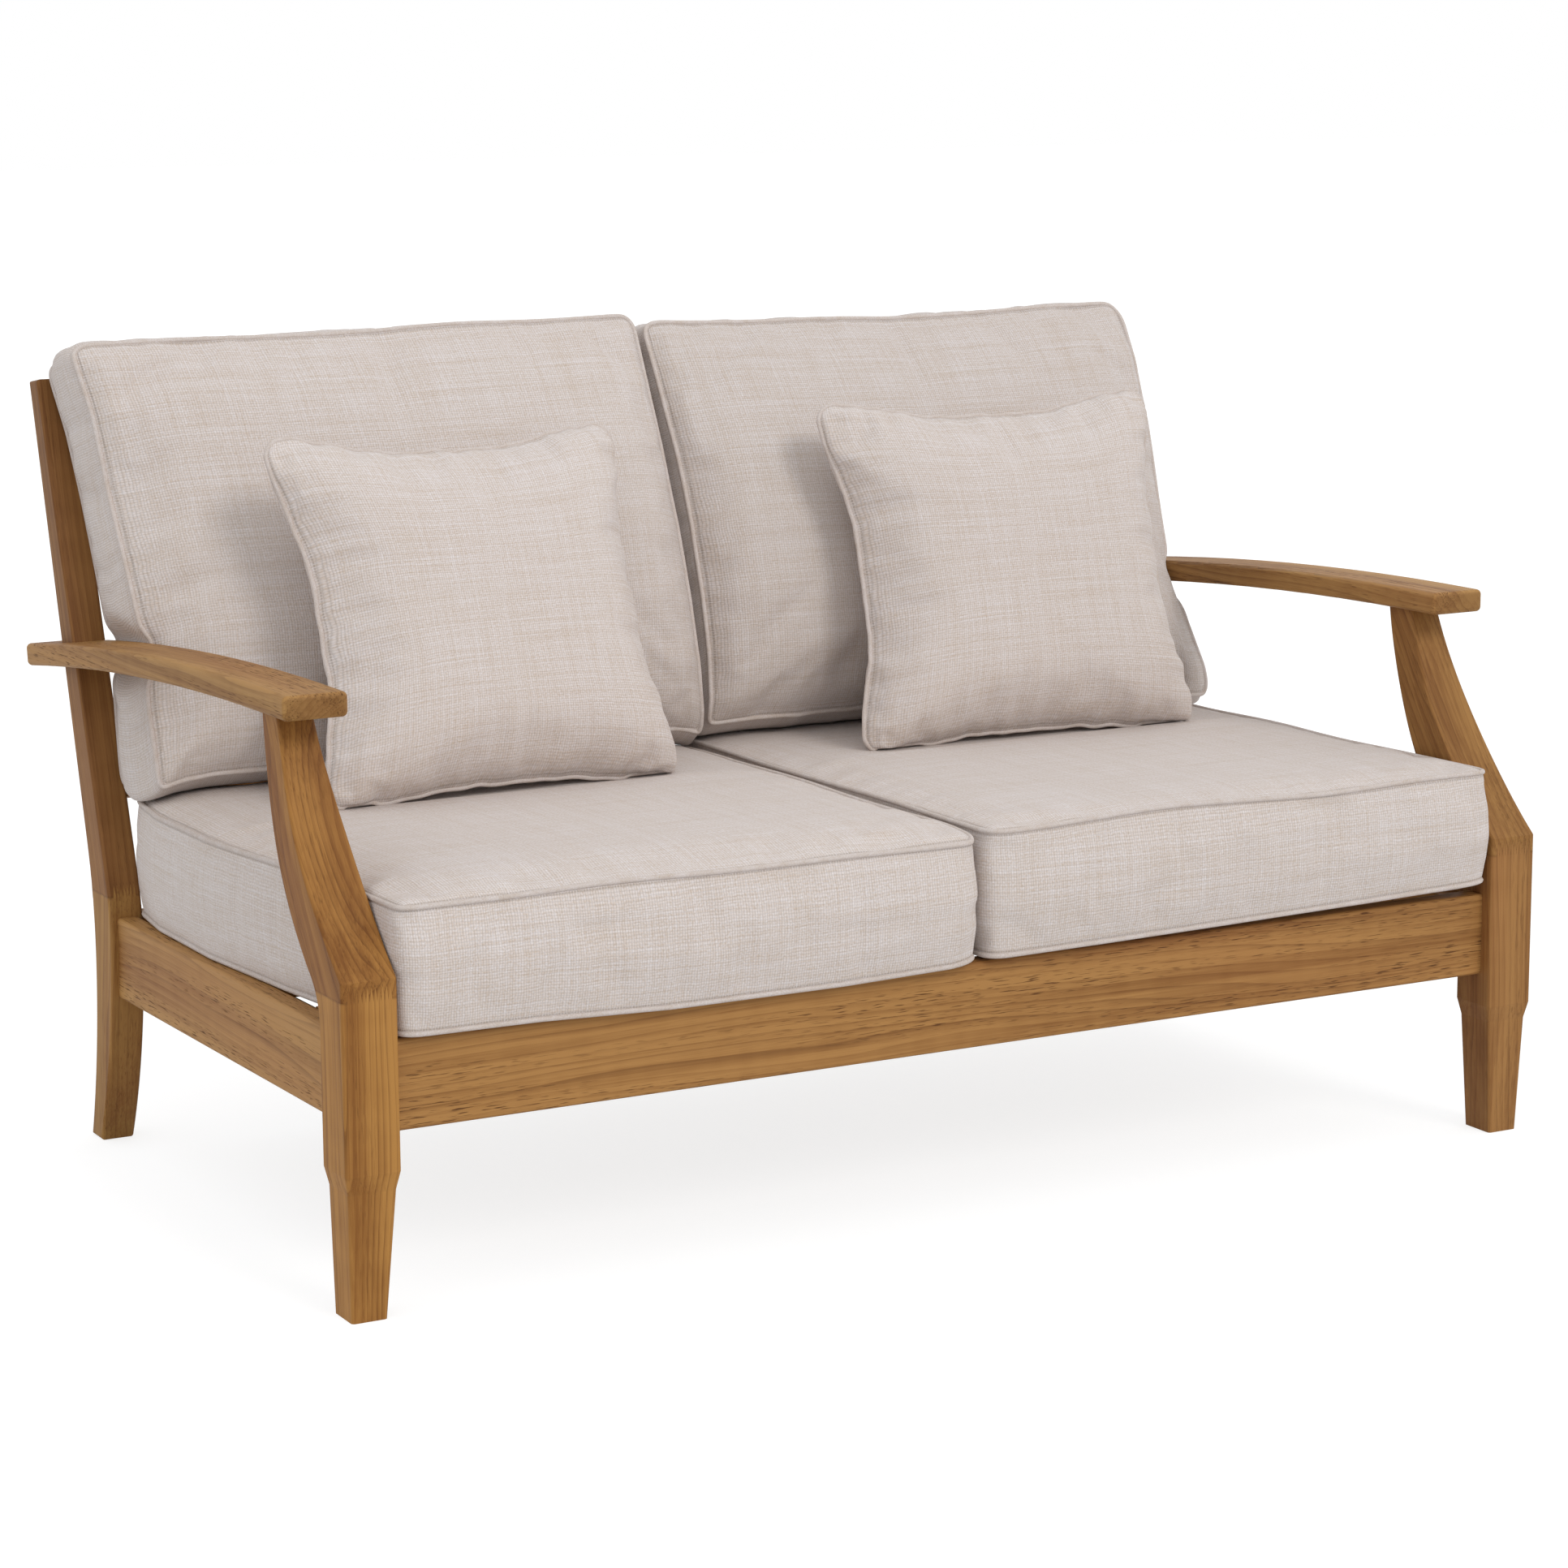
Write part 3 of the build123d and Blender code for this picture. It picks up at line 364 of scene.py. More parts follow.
def teak(name, run, seed, lean=0.0, tint=(1.0, 1.0, 1.0), fingers=None):
    """A teak material whose grain runs across, along or upright, leaning back by an angle."""
    settings = bpy.context.scene.loveseat_teak
    material, tree, shader = new_material(name)
    source = add(tree, "ShaderNodeTexCoord")
    place, facing = source.outputs["Object"], source.outputs["Normal"]
    for turn in ((lean, 0, 0), GRAIN_TURNS[run]):
        place = add(tree, "ShaderNodeMapping", {"Vector": place, "Rotation": turn}).outputs[0]
        facing = add(tree, "ShaderNodeMapping", {"Vector": facing, "Rotation": turn},
                     vector_type="VECTOR").outputs[0]
    end_on = abs(parts_of(tree, facing)[0]).spread(0.7, 0.95, 0.0, 0.45)
    heart = (seed * 3.17, 0.035 + 0.05 * math.sin(seed * 2.1), 0.06 + 0.05 * math.cos(seed))
    grain = add(tree, "ShaderNodeGroup", {
        "Vector": moved(tree, "ADD", place, heart), "Light": tinted(settings.light, tint),
        "Middle": tinted(settings.middle, tint), "Dark": tinted(settings.dark, tint),
        "Ring Width": settings.ring_width, "Figure": settings.figure,
        "Pores": UPRIGHT_PORES if run == "upright" else 1.0,
    }, node_tree=group("Teak grain"))
    colour = blended(tree, end_on, grain.outputs["Color"],
                     tinted(tinted(settings.middle, tint), END_SHADE))
    if fingers:
        joint = add(tree, "ShaderNodeGroup", {
            "Vector": source.outputs["Object"],
            **dict(zip(("Root", "Inner", "Outer", "Step"), fingers)),
        }, node_tree=group("Finger joint"))
        colour = blended(tree, joint.outputs[0], colour, settings.dark)
    feed(shader.inputs["Base Color"], colour)
    feed(shader.inputs["Roughness"], grain.outputs["Roughness"])
    relief(tree, shader, grain.outputs["Height"], 0.35, 0.0006)
    set_levels(shader, {"Specular IOR Level": 0.18})
    return material


def finish_node(node, material):
    """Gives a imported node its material."""
    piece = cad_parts[node]
    piece.data.materials.clear()
    piece.data.materials.append(material)


def teak_nodes():
    """Every wooden node with the run of its grain and its lean."""
    found = []
    for side in SIDES:
        found += [
            (f"front_leg_{side}", "upright", 0.0), (f"arm_support_{side}", "upright", SUPPORT_LEAN),
            (f"rear_leg_{side}", "upright", REAR_LEG_LEAN),
            (f"back_post_{side}", "upright", BACK_LEAN),
            (f"arm_{side}", "along", 0.0), (f"side_rail_{side}", "along", 0.0),
            (f"slat_cleat_{side}", "along", 0.0), (f"front_corner_block_{side}", "across", 0.0),
            (f"rear_corner_block_{side}", "across", 0.0),
        ]
    found += [(name, "across", 0.0) for name in ("front_rail", "rear_rail")]
    found += [(name, "across", BACK_LEAN) for name in ("back_bottom_rail", "back_top_rail")]
    found += [(f"seat_slat_{number}", "across", 0.0) for number in range(1, 5)]
    found += [(f"back_slat_{number}", "upright", BACK_LEAN) for number in range(1, 12)]
    found.append(("centre_bearer", "along", 0.0))
    return found


# Per-piece tints fitted to the lit teak: painted reflection that lightens and blues the arms and
# side rails, painted shade that darkens the back posts and the right front leg, and the teak's own
# tone from piece to piece.
PIECE_TINTS_AND_PAINTED_LIGHT = {
    "arm_left": (0.97, 1.06, 1.24), "arm_right": (1.00, 1.08, 1.28),
    "arm_support_left": (0.87, 0.80, 0.68), "arm_support_right": (0.83, 0.83, 0.85),
    "front_leg_left": (1.06, 1.03, 0.93), "front_leg_right": (0.87, 0.86, 0.96),
    "front_rail": (1.00, 1.01, 1.12),
    "side_rail_left": (1.08, 1.16, 1.38), "side_rail_right": (1.02, 1.08, 1.22),
    "rear_leg_left": (0.96, 1.03, 1.06), "rear_leg_right": (0.93, 0.97, 1.00),
    "back_post_left": (0.74, 0.71, 0.78), "back_post_right": (0.84, 0.82, 0.86),
}


# Cloth

def build_weave(tree, given, result):
    """A basket weave with uneven threads and slubs, and painted shade between the threads; the
    vector is in metres on the cloth.
    """
    vector = given["Vector"]
    x, y, _ = parts_of(tree, vector)
    shift = (stretched_noise(tree, vector, (38.0, 38.0, 1.0), 1.0) - 0.5) * 1.2
    u = x / given["Pitch"] + shift
    v = y / given["Pitch"] - shift
    wave_u, wave_v = (u * math.pi).math("SINE"), (v * math.pi).math("SINE")
    rib_u, rib_v = abs(wave_u), abs(wave_v)
    over = (wave_u * wave_v).math("GREATER_THAN", 0.0)
    crossing = over * rib_u + (1.0 - over) * rib_v
    height = crossing * 0.2 + (rib_u * 0.2 + (rib_u * rib_v) ** 0.6 * 0.6)

    warp = stretched_noise(tree, vector, (300.0, 8.0, 1.0))
    weft = stretched_noise(tree, vector, (7.0, 380.0, 1.0))
    flecks = stretched_noise(tree, vector, (390.0, 440.0, 1.0))
    patches = stretched_noise(tree, vector, (30.0, 42.0, 1.0))
    cloud = stretched_noise(tree, vector, (8.0, 8.0, 1.0), 1.0)
    mix = u.math("FLOOR").chance() * 0.08 + (v.math("FLOOR") + 0.37).chance() * 0.07
    for part, low, high, share in ((warp, 0.34, 0.68, 0.15), (weft, 0.34, 0.68, 0.24),
                                   (flecks, 0.36, 0.66, 0.36), (patches, 0.34, 0.66, 0.06),
                                   (cloud, 0.3, 0.7, 0.03)):
        mix = part.spread(low, high) * share + mix
    colour = blended(tree, mix.spread(0.16, 0.86), given["Light"], given["Dark"])
    # Painted shade in the gaps between threads and a painted highlight on their crests, multiplied
    # into the thread colour.
    painted_gap_shade = height.spread(0.15, 0.85, 0.83, 1.05)
    painted_gap_grey = add(tree, "ShaderNodeCombineColor", {0: painted_gap_shade, 1: painted_gap_shade, 2: painted_gap_shade}).outputs[0]
    feed(result["Color"], blended(tree, 1.0, colour, painted_gap_grey, "MULTIPLY"))
    feed(result["Height"], weft.spread(0.5, 0.75) * 0.3 + height)


def build_stitches(tree, given, result):
    """A dashed row of stitch marks beside a seam, on a map of the way along it and the distance
    from it.
    """
    along, off, _ = parts_of(tree, given["Vector"])
    line = abs(off - given["Distance"]).spread(0.0011, 0.0004)
    share = (along / given["Length"]).math("FRACT")
    feed(result["Mask"], line * abs(share - 0.5).spread(0.28, 0.38, 1.0, 0.35))


NODE_GROUPS = {
    "Teak grain": (
        {"Vector": "Vector", "Light": "Color", "Middle": "Color", "Dark": "Color",
         "Ring Width": "Float", "Figure": "Float", "Pores": "Float"},
        {"Color": "Color", "Roughness": "Float", "Height": "Float"}, build_grain),
    "Finger joint": (
        {"Vector": "Vector", "Root": "Float", "Inner": "Float", "Outer": "Float", "Step": "Float"},
        {"Mask": "Float"}, build_fingers),
    "Outdoor weave": (
        {"Vector": "Vector", "Light": "Color", "Dark": "Color", "Pitch": "Float"},
        {"Color": "Color", "Height": "Float"}, build_weave),
    "Seam stitches": (
        {"Vector": "Vector", "Distance": "Float", "Length": "Float"}, {"Mask": "Float"},
        build_stitches),
}


STITCH_GAP = 0.0011
STITCH_LENGTH = 0.0035


def cloth(name, tone):
    """The woven cover cloth, following the piece's own weave map; tone darkens it as painted shade.
    """
    settings = bpy.context.scene.loveseat_cloth
    material, tree, shader = new_material(name)
    weave = add(tree, "ShaderNodeGroup", {
        "Vector": add(tree, "ShaderNodeUVMap", uv_map="weave").outputs[0],
        "Light": tinted(settings.light, tone), "Dark": tinted(settings.dark, tone),
        "Pitch": settings.pitch,
    }, node_tree=group("Outdoor weave"))
    stitches_and_groove_shade = Value(add(tree, "ShaderNodeGroup", {
        "Vector": add(tree, "ShaderNodeUVMap", uv_map="seam").outputs[0],
        "Distance": settings.piping + STITCH_GAP, "Length": STITCH_LENGTH,
    }, node_tree=group("Seam stitches")).outputs[0])
    # The stitch line darkens the cloth: painted shade in the stitch groove beside the piping, while
    # the same mask also sinks the groove into the bump.
    feed(shader.inputs["Base Color"], blended(tree, stitches_and_groove_shade * 0.5, weave.outputs["Color"],
                                              tinted(settings.dark, 0.5)))
    height = Value(weave.outputs["Height"]) - stitches_and_groove_shade
    relief(tree, shader, height, 0.6, 0.0005)
    set_levels(shader, {"Roughness": 0.92, "Specular IOR Level": 0.2, "Sheen Weight": 0.12,
                        "Sheen Roughness": 0.5})
    return material


# Padded forms

CLEARANCE = 0.0012
MIDDLE_GAP = 0.0008
SOFTNESS = 0.002
PRESS_GAP = 0.0015
PIPING_ROOM = 0.0036
ROUND_START = 0.003
ROUND_SLOPE = 0.8
RAY_START = 0.05
DROP_LIMITS = (-0.015, 0.02)
CREASE = 0.8
EDGE = 0.999


def even_box(name, columns, rows, layers):
    """A closed box of even cells from -1 to 1 each way, and from 0 to 1 in its height."""
    bpy.ops.object.select_all(action="DESELECT")
    bpy.ops.mesh.primitive_grid_add(x_subdivisions=columns, y_subdivisions=rows, size=2)
    piece = bpy.context.object
    piece.name = name
    piece.data.name = name
    bpy.ops.object.mode_set(mode="EDIT")
    bpy.ops.mesh.select_all(action="SELECT")
    for _ in range(layers):
        bpy.ops.mesh.extrude_region_move(TRANSFORM_OT_translate={"value": (0, 0, 1 / layers)})
    bpy.ops.mesh.select_all(action="SELECT")
    bpy.ops.mesh.normals_make_consistent(inside=False)
    bpy.ops.mesh.select_all(action="DESELECT")
    bpy.ops.object.mode_set(mode="OBJECT")
    return piece


def weave_map(piece, cells, spans, steepness=1.0):
    """Two maps in metres: the weave on each panel, and the way along and off the nearest seam."""
    width, length, depth = spans
    s, t, q = cells.T
    mesh = piece.data
    corners = np.empty(len(mesh.loops), dtype=np.int32)
    mesh.loops.foreach_get("vertex_index", corners)
    totals = np.empty(len(mesh.polygons), dtype=np.int32)
    mesh.polygons.foreach_get("loop_total", totals)
    face = np.repeat(np.arange(len(totals)), totals)

    def middle(values):
        return (np.bincount(face, values[corners]) / totals)[face]

    panel = (middle(q) > EDGE) | (middle(q) < 1 - EDGE)
    side = ~panel & (np.abs(middle(s)) > EDGE)
    x, y, z = s[corners] * width / 2, t[corners] * length / 2, q[corners] * depth
    u = np.where(side, y, x)
    v = np.where(panel, y, z)
    from_x, from_y = width / 2 - np.abs(x), length / 2 - np.abs(y)
    nearer = width / 2 - np.abs(middle(s)) * width / 2 < length / 2 - np.abs(middle(t)) * length / 2
    along = np.where(panel, np.where(nearer, y, x), u)
    off = np.where(panel, steepness * np.minimum(from_x, from_y), np.minimum(z, depth - z))
    for name, pair in (("weave", (u, v)), ("seam", (along, off))):
        layer = mesh.uv_layers.new(name=name)
        layer.data.foreach_set("uv", np.column_stack(pair).ravel())


def mark_seams(piece, cells, names, crease):
    """Groups the points of the lower and upper seams, and keeps their edges sharp."""
    border = np.maximum(np.abs(cells[:, 0]), np.abs(cells[:, 1])) > EDGE
    on_seam = np.zeros(len(cells), dtype=bool)
    for name, level in zip(names, (0.0, 1.0)):
        chosen = border & (np.abs(cells[:, 2] - level) < 1 - EDGE)
        seam = piece.vertex_groups.new(name=name)
        seam.add([int(i) for i in np.nonzero(chosen)[0]], 1.0, "REPLACE")
        on_seam |= chosen
    seams = piece.vertex_groups.new(name="seams")
    seams.add([int(i) for i in np.nonzero(on_seam)[0]], 1.0, "REPLACE")
    values = [
        crease if on_seam[edge.vertices[0]] and on_seam[edge.vertices[1]]
        and abs(cells[edge.vertices[0], 2] - cells[edge.vertices[1], 2]) < 1 - EDGE else 0.0
        for edge in piece.data.edges
    ]
    attribute = piece.data.attributes.new("crease_edge", "FLOAT", "EDGE")
    attribute.data.foreach_set("value", values)


CLOTH_FRAMES = 16


def fill_with_air(piece, pressure, growth, cap, give):
    """Lets the filling press the cloth out between its seams; give is each point's freedom."""
    before = coordinates(piece)
    only(piece)
    bpy.ops.object.modifier_add(type="CLOTH")
    modifier = piece.modifiers[-1]
    settings = modifier.settings
    settings.quality = 6
    settings.mass = 0.25
    settings.tension_stiffness = settings.compression_stiffness = 20
    settings.shear_stiffness = 8
    settings.bending_stiffness = 0.6
    settings.use_pressure = True
    settings.uniform_pressure_force = pressure
    settings.shrink_min = -growth
    settings.effector_weights.gravity = 0
    settings.vertex_group_mass = "seams"
    modifier.collision_settings.use_collision = False
    modifier.collision_settings.use_self_collision = False
    modifier.point_cache.frame_start = 1
    modifier.point_cache.frame_end = CLOTH_FRAMES
    for number in range(1, CLOTH_FRAMES + 1):
        bpy.context.scene.frame_set(number)
    bpy.ops.object.modifier_apply(modifier=modifier.name)
    bpy.context.scene.frame_set(1)
    move = coordinates(piece) - before
    length = np.maximum(np.linalg.norm(move, axis=1), 1e-9)
    move_points(piece, before + move * (give * cap * np.tanh(length / cap) / length)[:, None])


def keep_clear(piece, sign, room, cord):
    """Presses a cushion's two ends back to the room beside the wood and beside its twin."""
    places = coordinates(piece)
    out = sign * places[:, 0]
    wall, middle = room - CLEARANCE - cord, MIDDLE_GAP + cord
    out = -SOFTNESS * np.logaddexp(-out / SOFTNESS, -wall / SOFTNESS)
    out = SOFTNESS / 3 * np.logaddexp(3 * out / SOFTNESS, 3 * middle / SOFTNESS)
    places[:, 0] = sign * out
    move_points(piece, places)


def surface_of(piece):
    """A piece's faces in a form that rays can be cast at."""
    mesh = piece.data
    mesh.calc_loop_triangles()
    return BVHTree.FromPolygons([point.co for point in mesh.vertices],
                                [tuple(face.vertices) for face in mesh.loop_triangles])


def settle_on(piece, other, cells, up):
    """Lets each upright row of a cushion's points down, or up, until its foot rests on another."""
    surface = surface_of(other)
    places = coordinates(piece)
    gaps = {}
    for index in np.nonzero((cells[:, 1] < -EDGE) & (np.abs(cells[:, 0]) < 0.9))[0]:
        start = Vector(places[index]) + RAY_START * up
        hit = surface.ray_cast(start, -up)
        if hit[0] is not None:
            column = round(float(cells[index, 0]), 4)
            gaps[column] = min(gaps.get(column, 1.0), hit[3] - RAY_START - PRESS_GAP)
    columns = sorted(gaps)
    drop = np.clip([gaps[column] for column in columns], *DROP_LIMITS)
    fade = ((1 - cells[:, 1]) / 2) ** 4
    places -= np.outer(fade * np.interp(cells[:, 0], columns, drop), up)
    move_points(piece, places)


def subdivide(piece, levels):
    """Rounds the piece with a subdivision surface and applies it."""
    only(piece)
    bpy.ops.object.modifier_add(type="SUBSURF")
    modifier = piece.modifiers[-1]
    modifier.levels = levels
    modifier.render_levels = levels
    bpy.ops.object.modifier_apply(modifier=modifier.name)
    bpy.ops.object.shade_smooth()


def seam_points(piece, seam):
    """The numbers of the points that lie wholly on a seam."""
    index = piece.vertex_groups[seam].index
    return [
        point.index for point in piece.data.vertices
        if any(entry.group == index and entry.weight > 0.99 for entry in point.groups)
    ]


def piping(piece, seam, name, radius):
    """A cord of cloth along one seam, made from the seam's own edges."""
    only(piece)
    bpy.ops.object.duplicate()
    cord = bpy.context.object
    cord.name = name
    cord.data.name = name
    chosen = set(seam_points(cord, seam))
    bpy.ops.object.mode_set(mode="EDIT")
    bpy.ops.mesh.select_mode(type="VERT")
    bpy.ops.object.mode_set(mode="OBJECT")
    for point in cord.data.vertices:
        point.select = point.index not in chosen
    bpy.ops.object.mode_set(mode="EDIT")
    bpy.ops.mesh.delete(type="VERT")
    bpy.ops.object.mode_set(mode="OBJECT")
    cord.data.materials.clear()
    bpy.ops.object.convert(target="CURVE")
    cord = bpy.context.object
    cord.data.bevel_depth = radius
    cord.data.bevel_resolution = 2
    bpy.ops.object.convert(target="MESH")
    cord = bpy.context.object
    bpy.ops.object.mode_set(mode="EDIT")
    bpy.ops.mesh.select_all(action="SELECT")
    bpy.ops.mesh.remove_doubles(threshold=0.00001)
    bpy.ops.mesh.normals_make_consistent(inside=False)
    bpy.ops.mesh.select_all(action="DESELECT")
    bpy.ops.object.mode_set(mode="OBJECT")
    bpy.ops.object.shade_smooth()
    return cord


def piping_cloth():
    """The cover cloth cut on the bias for the piping."""
    name = "piping cloth"
    if name in bpy.data.materials:
        return bpy.data.materials[name]
    settings = bpy.context.scene.loveseat_cloth
    material, tree, shader = new_material(name)
    place = add(tree, "ShaderNodeTexCoord").outputs["Object"]
    turned = add(tree, "ShaderNodeMapping",
                 {"Vector": place, "Rotation": (0.6, 0.5, 0.8)}).outputs[0]
    fine = stretched_noise(tree, turned, (900.0, 500.0, 900.0))
    broad = stretched_noise(tree, place, (60.0, 60.0, 60.0))
    feed(shader.inputs["Base Color"],
         blended(tree, (fine * 0.7 + broad * 0.3).spread(0.3, 0.7), tinted(settings.light, 0.93),
                 tinted(settings.dark, 0.88)))
    relief(tree, shader, fine, 0.5, 0.0004)
    set_levels(shader, {"Roughness": 0.92, "Specular IOR Level": 0.2})
    return material


def noise_at(cells, scale, offset):
    """Smooth noise at each cell, drawn out by its own scale each way."""
    return np.array([noise.noise(Vector(point)) for point in cells * scale + offset])


def placed(origin, *steps):
    """Places from an origin and a distance along each of some axes."""
    return origin + sum(np.outer(distance, axis) for distance, axis in steps)


def soften(values, low, high):
    """A smooth step from 0 to 1 between two values."""
    share = np.clip((values - low) / (high - low), 0.0, 1.0)
    return share * share * (3 - 2 * share)


def edge_distance(s, t, half_x, half_y):
    """How far a point of a panel lies from the nearest seam, rounded where two seams meet."""
    from_x = np.maximum((1 - np.abs(s)) * half_x, 1e-6)
    from_y = np.maximum((1 - np.abs(t)) * half_y, 1e-6)
    return (from_x ** -3.0 + from_y ** -3.0) ** (-1 / 3.0)


def rounded_corners(s, t, x, y, half_x, half_y, corner):
    """Pulls the corners of an outline in, so that the strip goes round them."""
    start_x, start_y = 1 - corner / half_x, 1 - corner / half_y
    near = np.clip((np.abs(s) - start_x) / (1 - start_x), 0, 1)
    near = near * np.clip((np.abs(t) - start_y) / (1 - start_y), 0, 1)
    pull = corner * 0.26 * near ** 2
    return x - np.sign(s) * pull, y - np.sign(t) * pull


# Painted shade: the cloth of these pieces is made darker to stand in for the light falling off
# across the loveseat, the right back cushion most.
CLOTH_PAINTED_SHADE = {
    "back_cushion_left": 0.965, "back_cushion_right": 0.925, "throw_pillow_right": 0.98,
    "seat_cushion_right": 0.99,
}


def dress(piece, body, covers):
    """Puts a finished cushion in place of its solids and says what it is."""
    piece.data.materials.clear()
    label = "cloth of " + body.replace("_", " ")
    # Each cushion gets its own copy of the cloth, darkened by its painted shade.
    piece.data.materials.append(cloth(label, CLOTH_PAINTED_SHADE.get(body, 1.0)))
    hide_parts(*covers)
    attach(piece, body)


def trim(piece, body):
    """Puts a seam's piping on its cushion's body."""
    piece.data.materials.clear()
    piece.data.materials.append(piping_cloth())
    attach(piece, body)


# Seat cushions

ACROSS = (1, 0, 0)
SEAT_ORIGIN = np.array((0.0, -0.412155, 0.289))
SEAT_TILT = math.atan(10 / 675)
SEAT_BACK = np.array((0.0, math.cos(SEAT_TILT), -math.sin(SEAT_TILT)))
SEAT_UP = np.array((0.0, math.sin(SEAT_TILT), math.cos(SEAT_TILT)))
SEAT_CELLS = (74, 82, 14)
SEAT_MIDDLE = 0.343
SEAT_CORNER = 0.026
SIDE_DRAW = 0.004
SEAT_OVERHANG = 0.062
RAIL_FACE = -0.0425
CROWN_REACH = 0.12
SEAT_CROWN_SHARES = (0, 0.06, 0.22, 0.55, 1.0)
SEAT_CROWN_RISES = (0, 0.34, 0.66, 0.9, 1.0)
SIDE_SWELL = 0.0042
FRONT_SWELL = 0.0075
SIDE_SEAM = 0.0036
BELLY_REACH = 0.06
BELLY_LEVEL = 0.0006
INNER_PUFF = {"left": 0.009, "right": 0.0}
SEAT_STATIONS = (-1.0, -0.62, -0.27, 0.25, 0.7, 1.0)
SEAT_SPREADS = {
    "left": (0.006, 0.010, 0.024, 0.036, 0.031, 0.014),
    "right": (0.006, 0.004, 0.0, 0.0, 0.0, 0.0),
}
FRONT_STATIONS = (-1.0, -0.55, -0.1, 0.5, 0.9, 1.0)
FRONT_SEAMS = {
    "left": (0.006, 0.004, -0.002, -0.002, 0.002, 0.007),
    "right": (0.006, 0.007, 0.009, 0.013, 0.017, 0.019),
}

SUPPORT_INNER = 0.6889
SUPPORT_HEIGHTS = (0.29, 0.33, 0.35, 0.37, 0.39, 0.41, 0.43, 0.45)
SUPPORT_REARS = (-0.412, -0.4054, -0.3903, -0.3695, -0.3521, -0.3373, -0.3246, -0.3133)


def seat_cushion(side):
    """One boxed seat cushion, with its crown, belly, drawn-in sides and two seams."""
    settings = bpy.context.scene.loveseat_seat
    piece = even_box(f"seat_cushion_{side}", *SEAT_CELLS)
    cells = coordinates(piece)
    s, t, q = cells.T
    sign = SIDES[side]
    half_x, half_y = settings.width / 2, settings.length / 2
    lift = settings.lift if side == "right" else 0.0
    border = np.maximum(np.abs(s), np.abs(t)) > EDGE
    strip = border & (q > 1 - EDGE) & (q < EDGE)
    x = s * (half_x - SIDE_DRAW * (1 - t ** 2))
    y = t * (half_y - SIDE_DRAW * (1 - s ** 2))
    x, y = rounded_corners(s, t, x, y, half_x, half_y, SEAT_CORNER)
    swell = np.where(strip, np.sin(np.pi * q), 0.0)
    outward = (1 + sign * s) / 2
    x = x + sign * outward ** 1.5 * np.interp(t, SEAT_STATIONS, SEAT_SPREADS[side])
    x = x + np.where(np.abs(s) > EDGE, np.sign(s) * SIDE_SWELL * swell, 0.0)
    y = y + np.where(np.abs(t) > EDGE, np.sign(t) * FRONT_SWELL * swell, 0.0)

    puffed = INNER_PUFF[side] * (1 - outward) ** 5 * (1 - t ** 8)
    high = settings.belly + settings.boxing + lift + puffed
    top = settings.belly + settings.boxing + settings.crown
    towards_front = soften(-t, 0.55, 1.0)
    low = SIDE_SEAM + lift * 0.8 * outward
    low = low + towards_front * (np.interp(s, FRONT_STATIONS, FRONT_SEAMS[side]) - low)
    distance = edge_distance(s, t, half_x, half_y)
    crown = np.interp(distance / CROWN_REACH, SEAT_CROWN_SHARES, SEAT_CROWN_RISES)
    belly = np.interp(distance / BELLY_REACH, (0, 0.25, 1.0), (0, 0.5, 1.0))
    w = low + q * (high - low)
    w = np.where(q > EDGE, high + (top - high) * crown, w)
    under = low - (low - BELLY_LEVEL) * belly
    on_rail = (y + half_y > SEAT_OVERHANG + RAIL_FACE) & (np.abs(s) < EDGE)
    w = np.where(q < 1 - EDGE, np.where(on_rail, np.maximum(under, BELLY_LEVEL), under), w)
    ripple = noise_at(cells, (5.0 * half_x, 5.0 * half_y, 6.0), (3.0 * sign, 0.0, 0.0))
    upper = q > 0.3
    w = w + np.where(border & upper, 0.0042 * ripple, 0.0)
    y = y + np.where(border & upper & (t < -EDGE), 0.003 * ripple, 0.0)
    move_points(piece, placed(SEAT_ORIGIN, (x + sign * SEAT_MIDDLE, ACROSS),
                              (y + half_y - SEAT_OVERHANG, SEAT_BACK), (w, SEAT_UP)))
    weave_map(piece, cells, (settings.width, settings.length, settings.boxing))
    mark_seams(piece, cells, ("lower seam", "upper seam"), CREASE)
    give = np.where(q < 1 - EDGE, 0.05, np.where((q > EDGE) & (t > 0.2), 0.35, 1.0))
    fill_with_air(piece, pressure=2.0, growth=0.015, cap=0.006, give=give)
    y, z = coordinates(piece)[:, 1:].T
    behind = y - np.interp(z, SUPPORT_HEIGHTS, SUPPORT_REARS)
    room = SUPPORT_INNER + ROUND_SLOPE * np.maximum(behind - ROUND_START, 0.0)
    keep_clear(piece, sign, room, PIPING_ROOM * (border & ~strip))
    subdivide(piece, 1)
    return piece


# Back cushions

BACK_ORIGIN = np.array((0.0, 0.272355, 0.32294))
BACK_UP = np.array((0.0, math.sin(BACK_LEAN), math.cos(BACK_LEAN)))
BACK_OUT = np.array((0.0, -math.cos(BACK_LEAN), math.sin(BACK_LEAN)))
BACK_CELLS = (74, 64, 14)
FOOT_CORNER = 0.012
HEAD_CORNER = 0.024
OUTER_SWELL = 0.012
HEAD_SWELL = 0.0085
REAR_SEAM = 0.0075
REAR_LEVEL = 0.0008
BACK_HEIGHTS = (0.0, 0.03, 0.065, 0.175, 0.32, 0.49, 0.67, 0.835, 0.945, 1.0)
BACK_CROWNS = (0.2, 0.4, 0.56, 0.84, 0.98, 1.0, 0.86, 0.54, 0.28, 0.14)
INNER_SEAMS = (0.78, 0.84, 0.89, 0.97, 1.0, 0.99, 0.93, 0.82, 0.74, 0.70)
OUTER_SEAMS = {
    "left": (0.82, 0.84, 0.84, 0.77, 0.77, 0.70, 0.62, 0.66, 0.65, 0.60),
    "right": (0.88, 0.92, 0.95, 0.96, 0.97, 0.94, 0.88, 0.79, 0.70, 0.64),
}
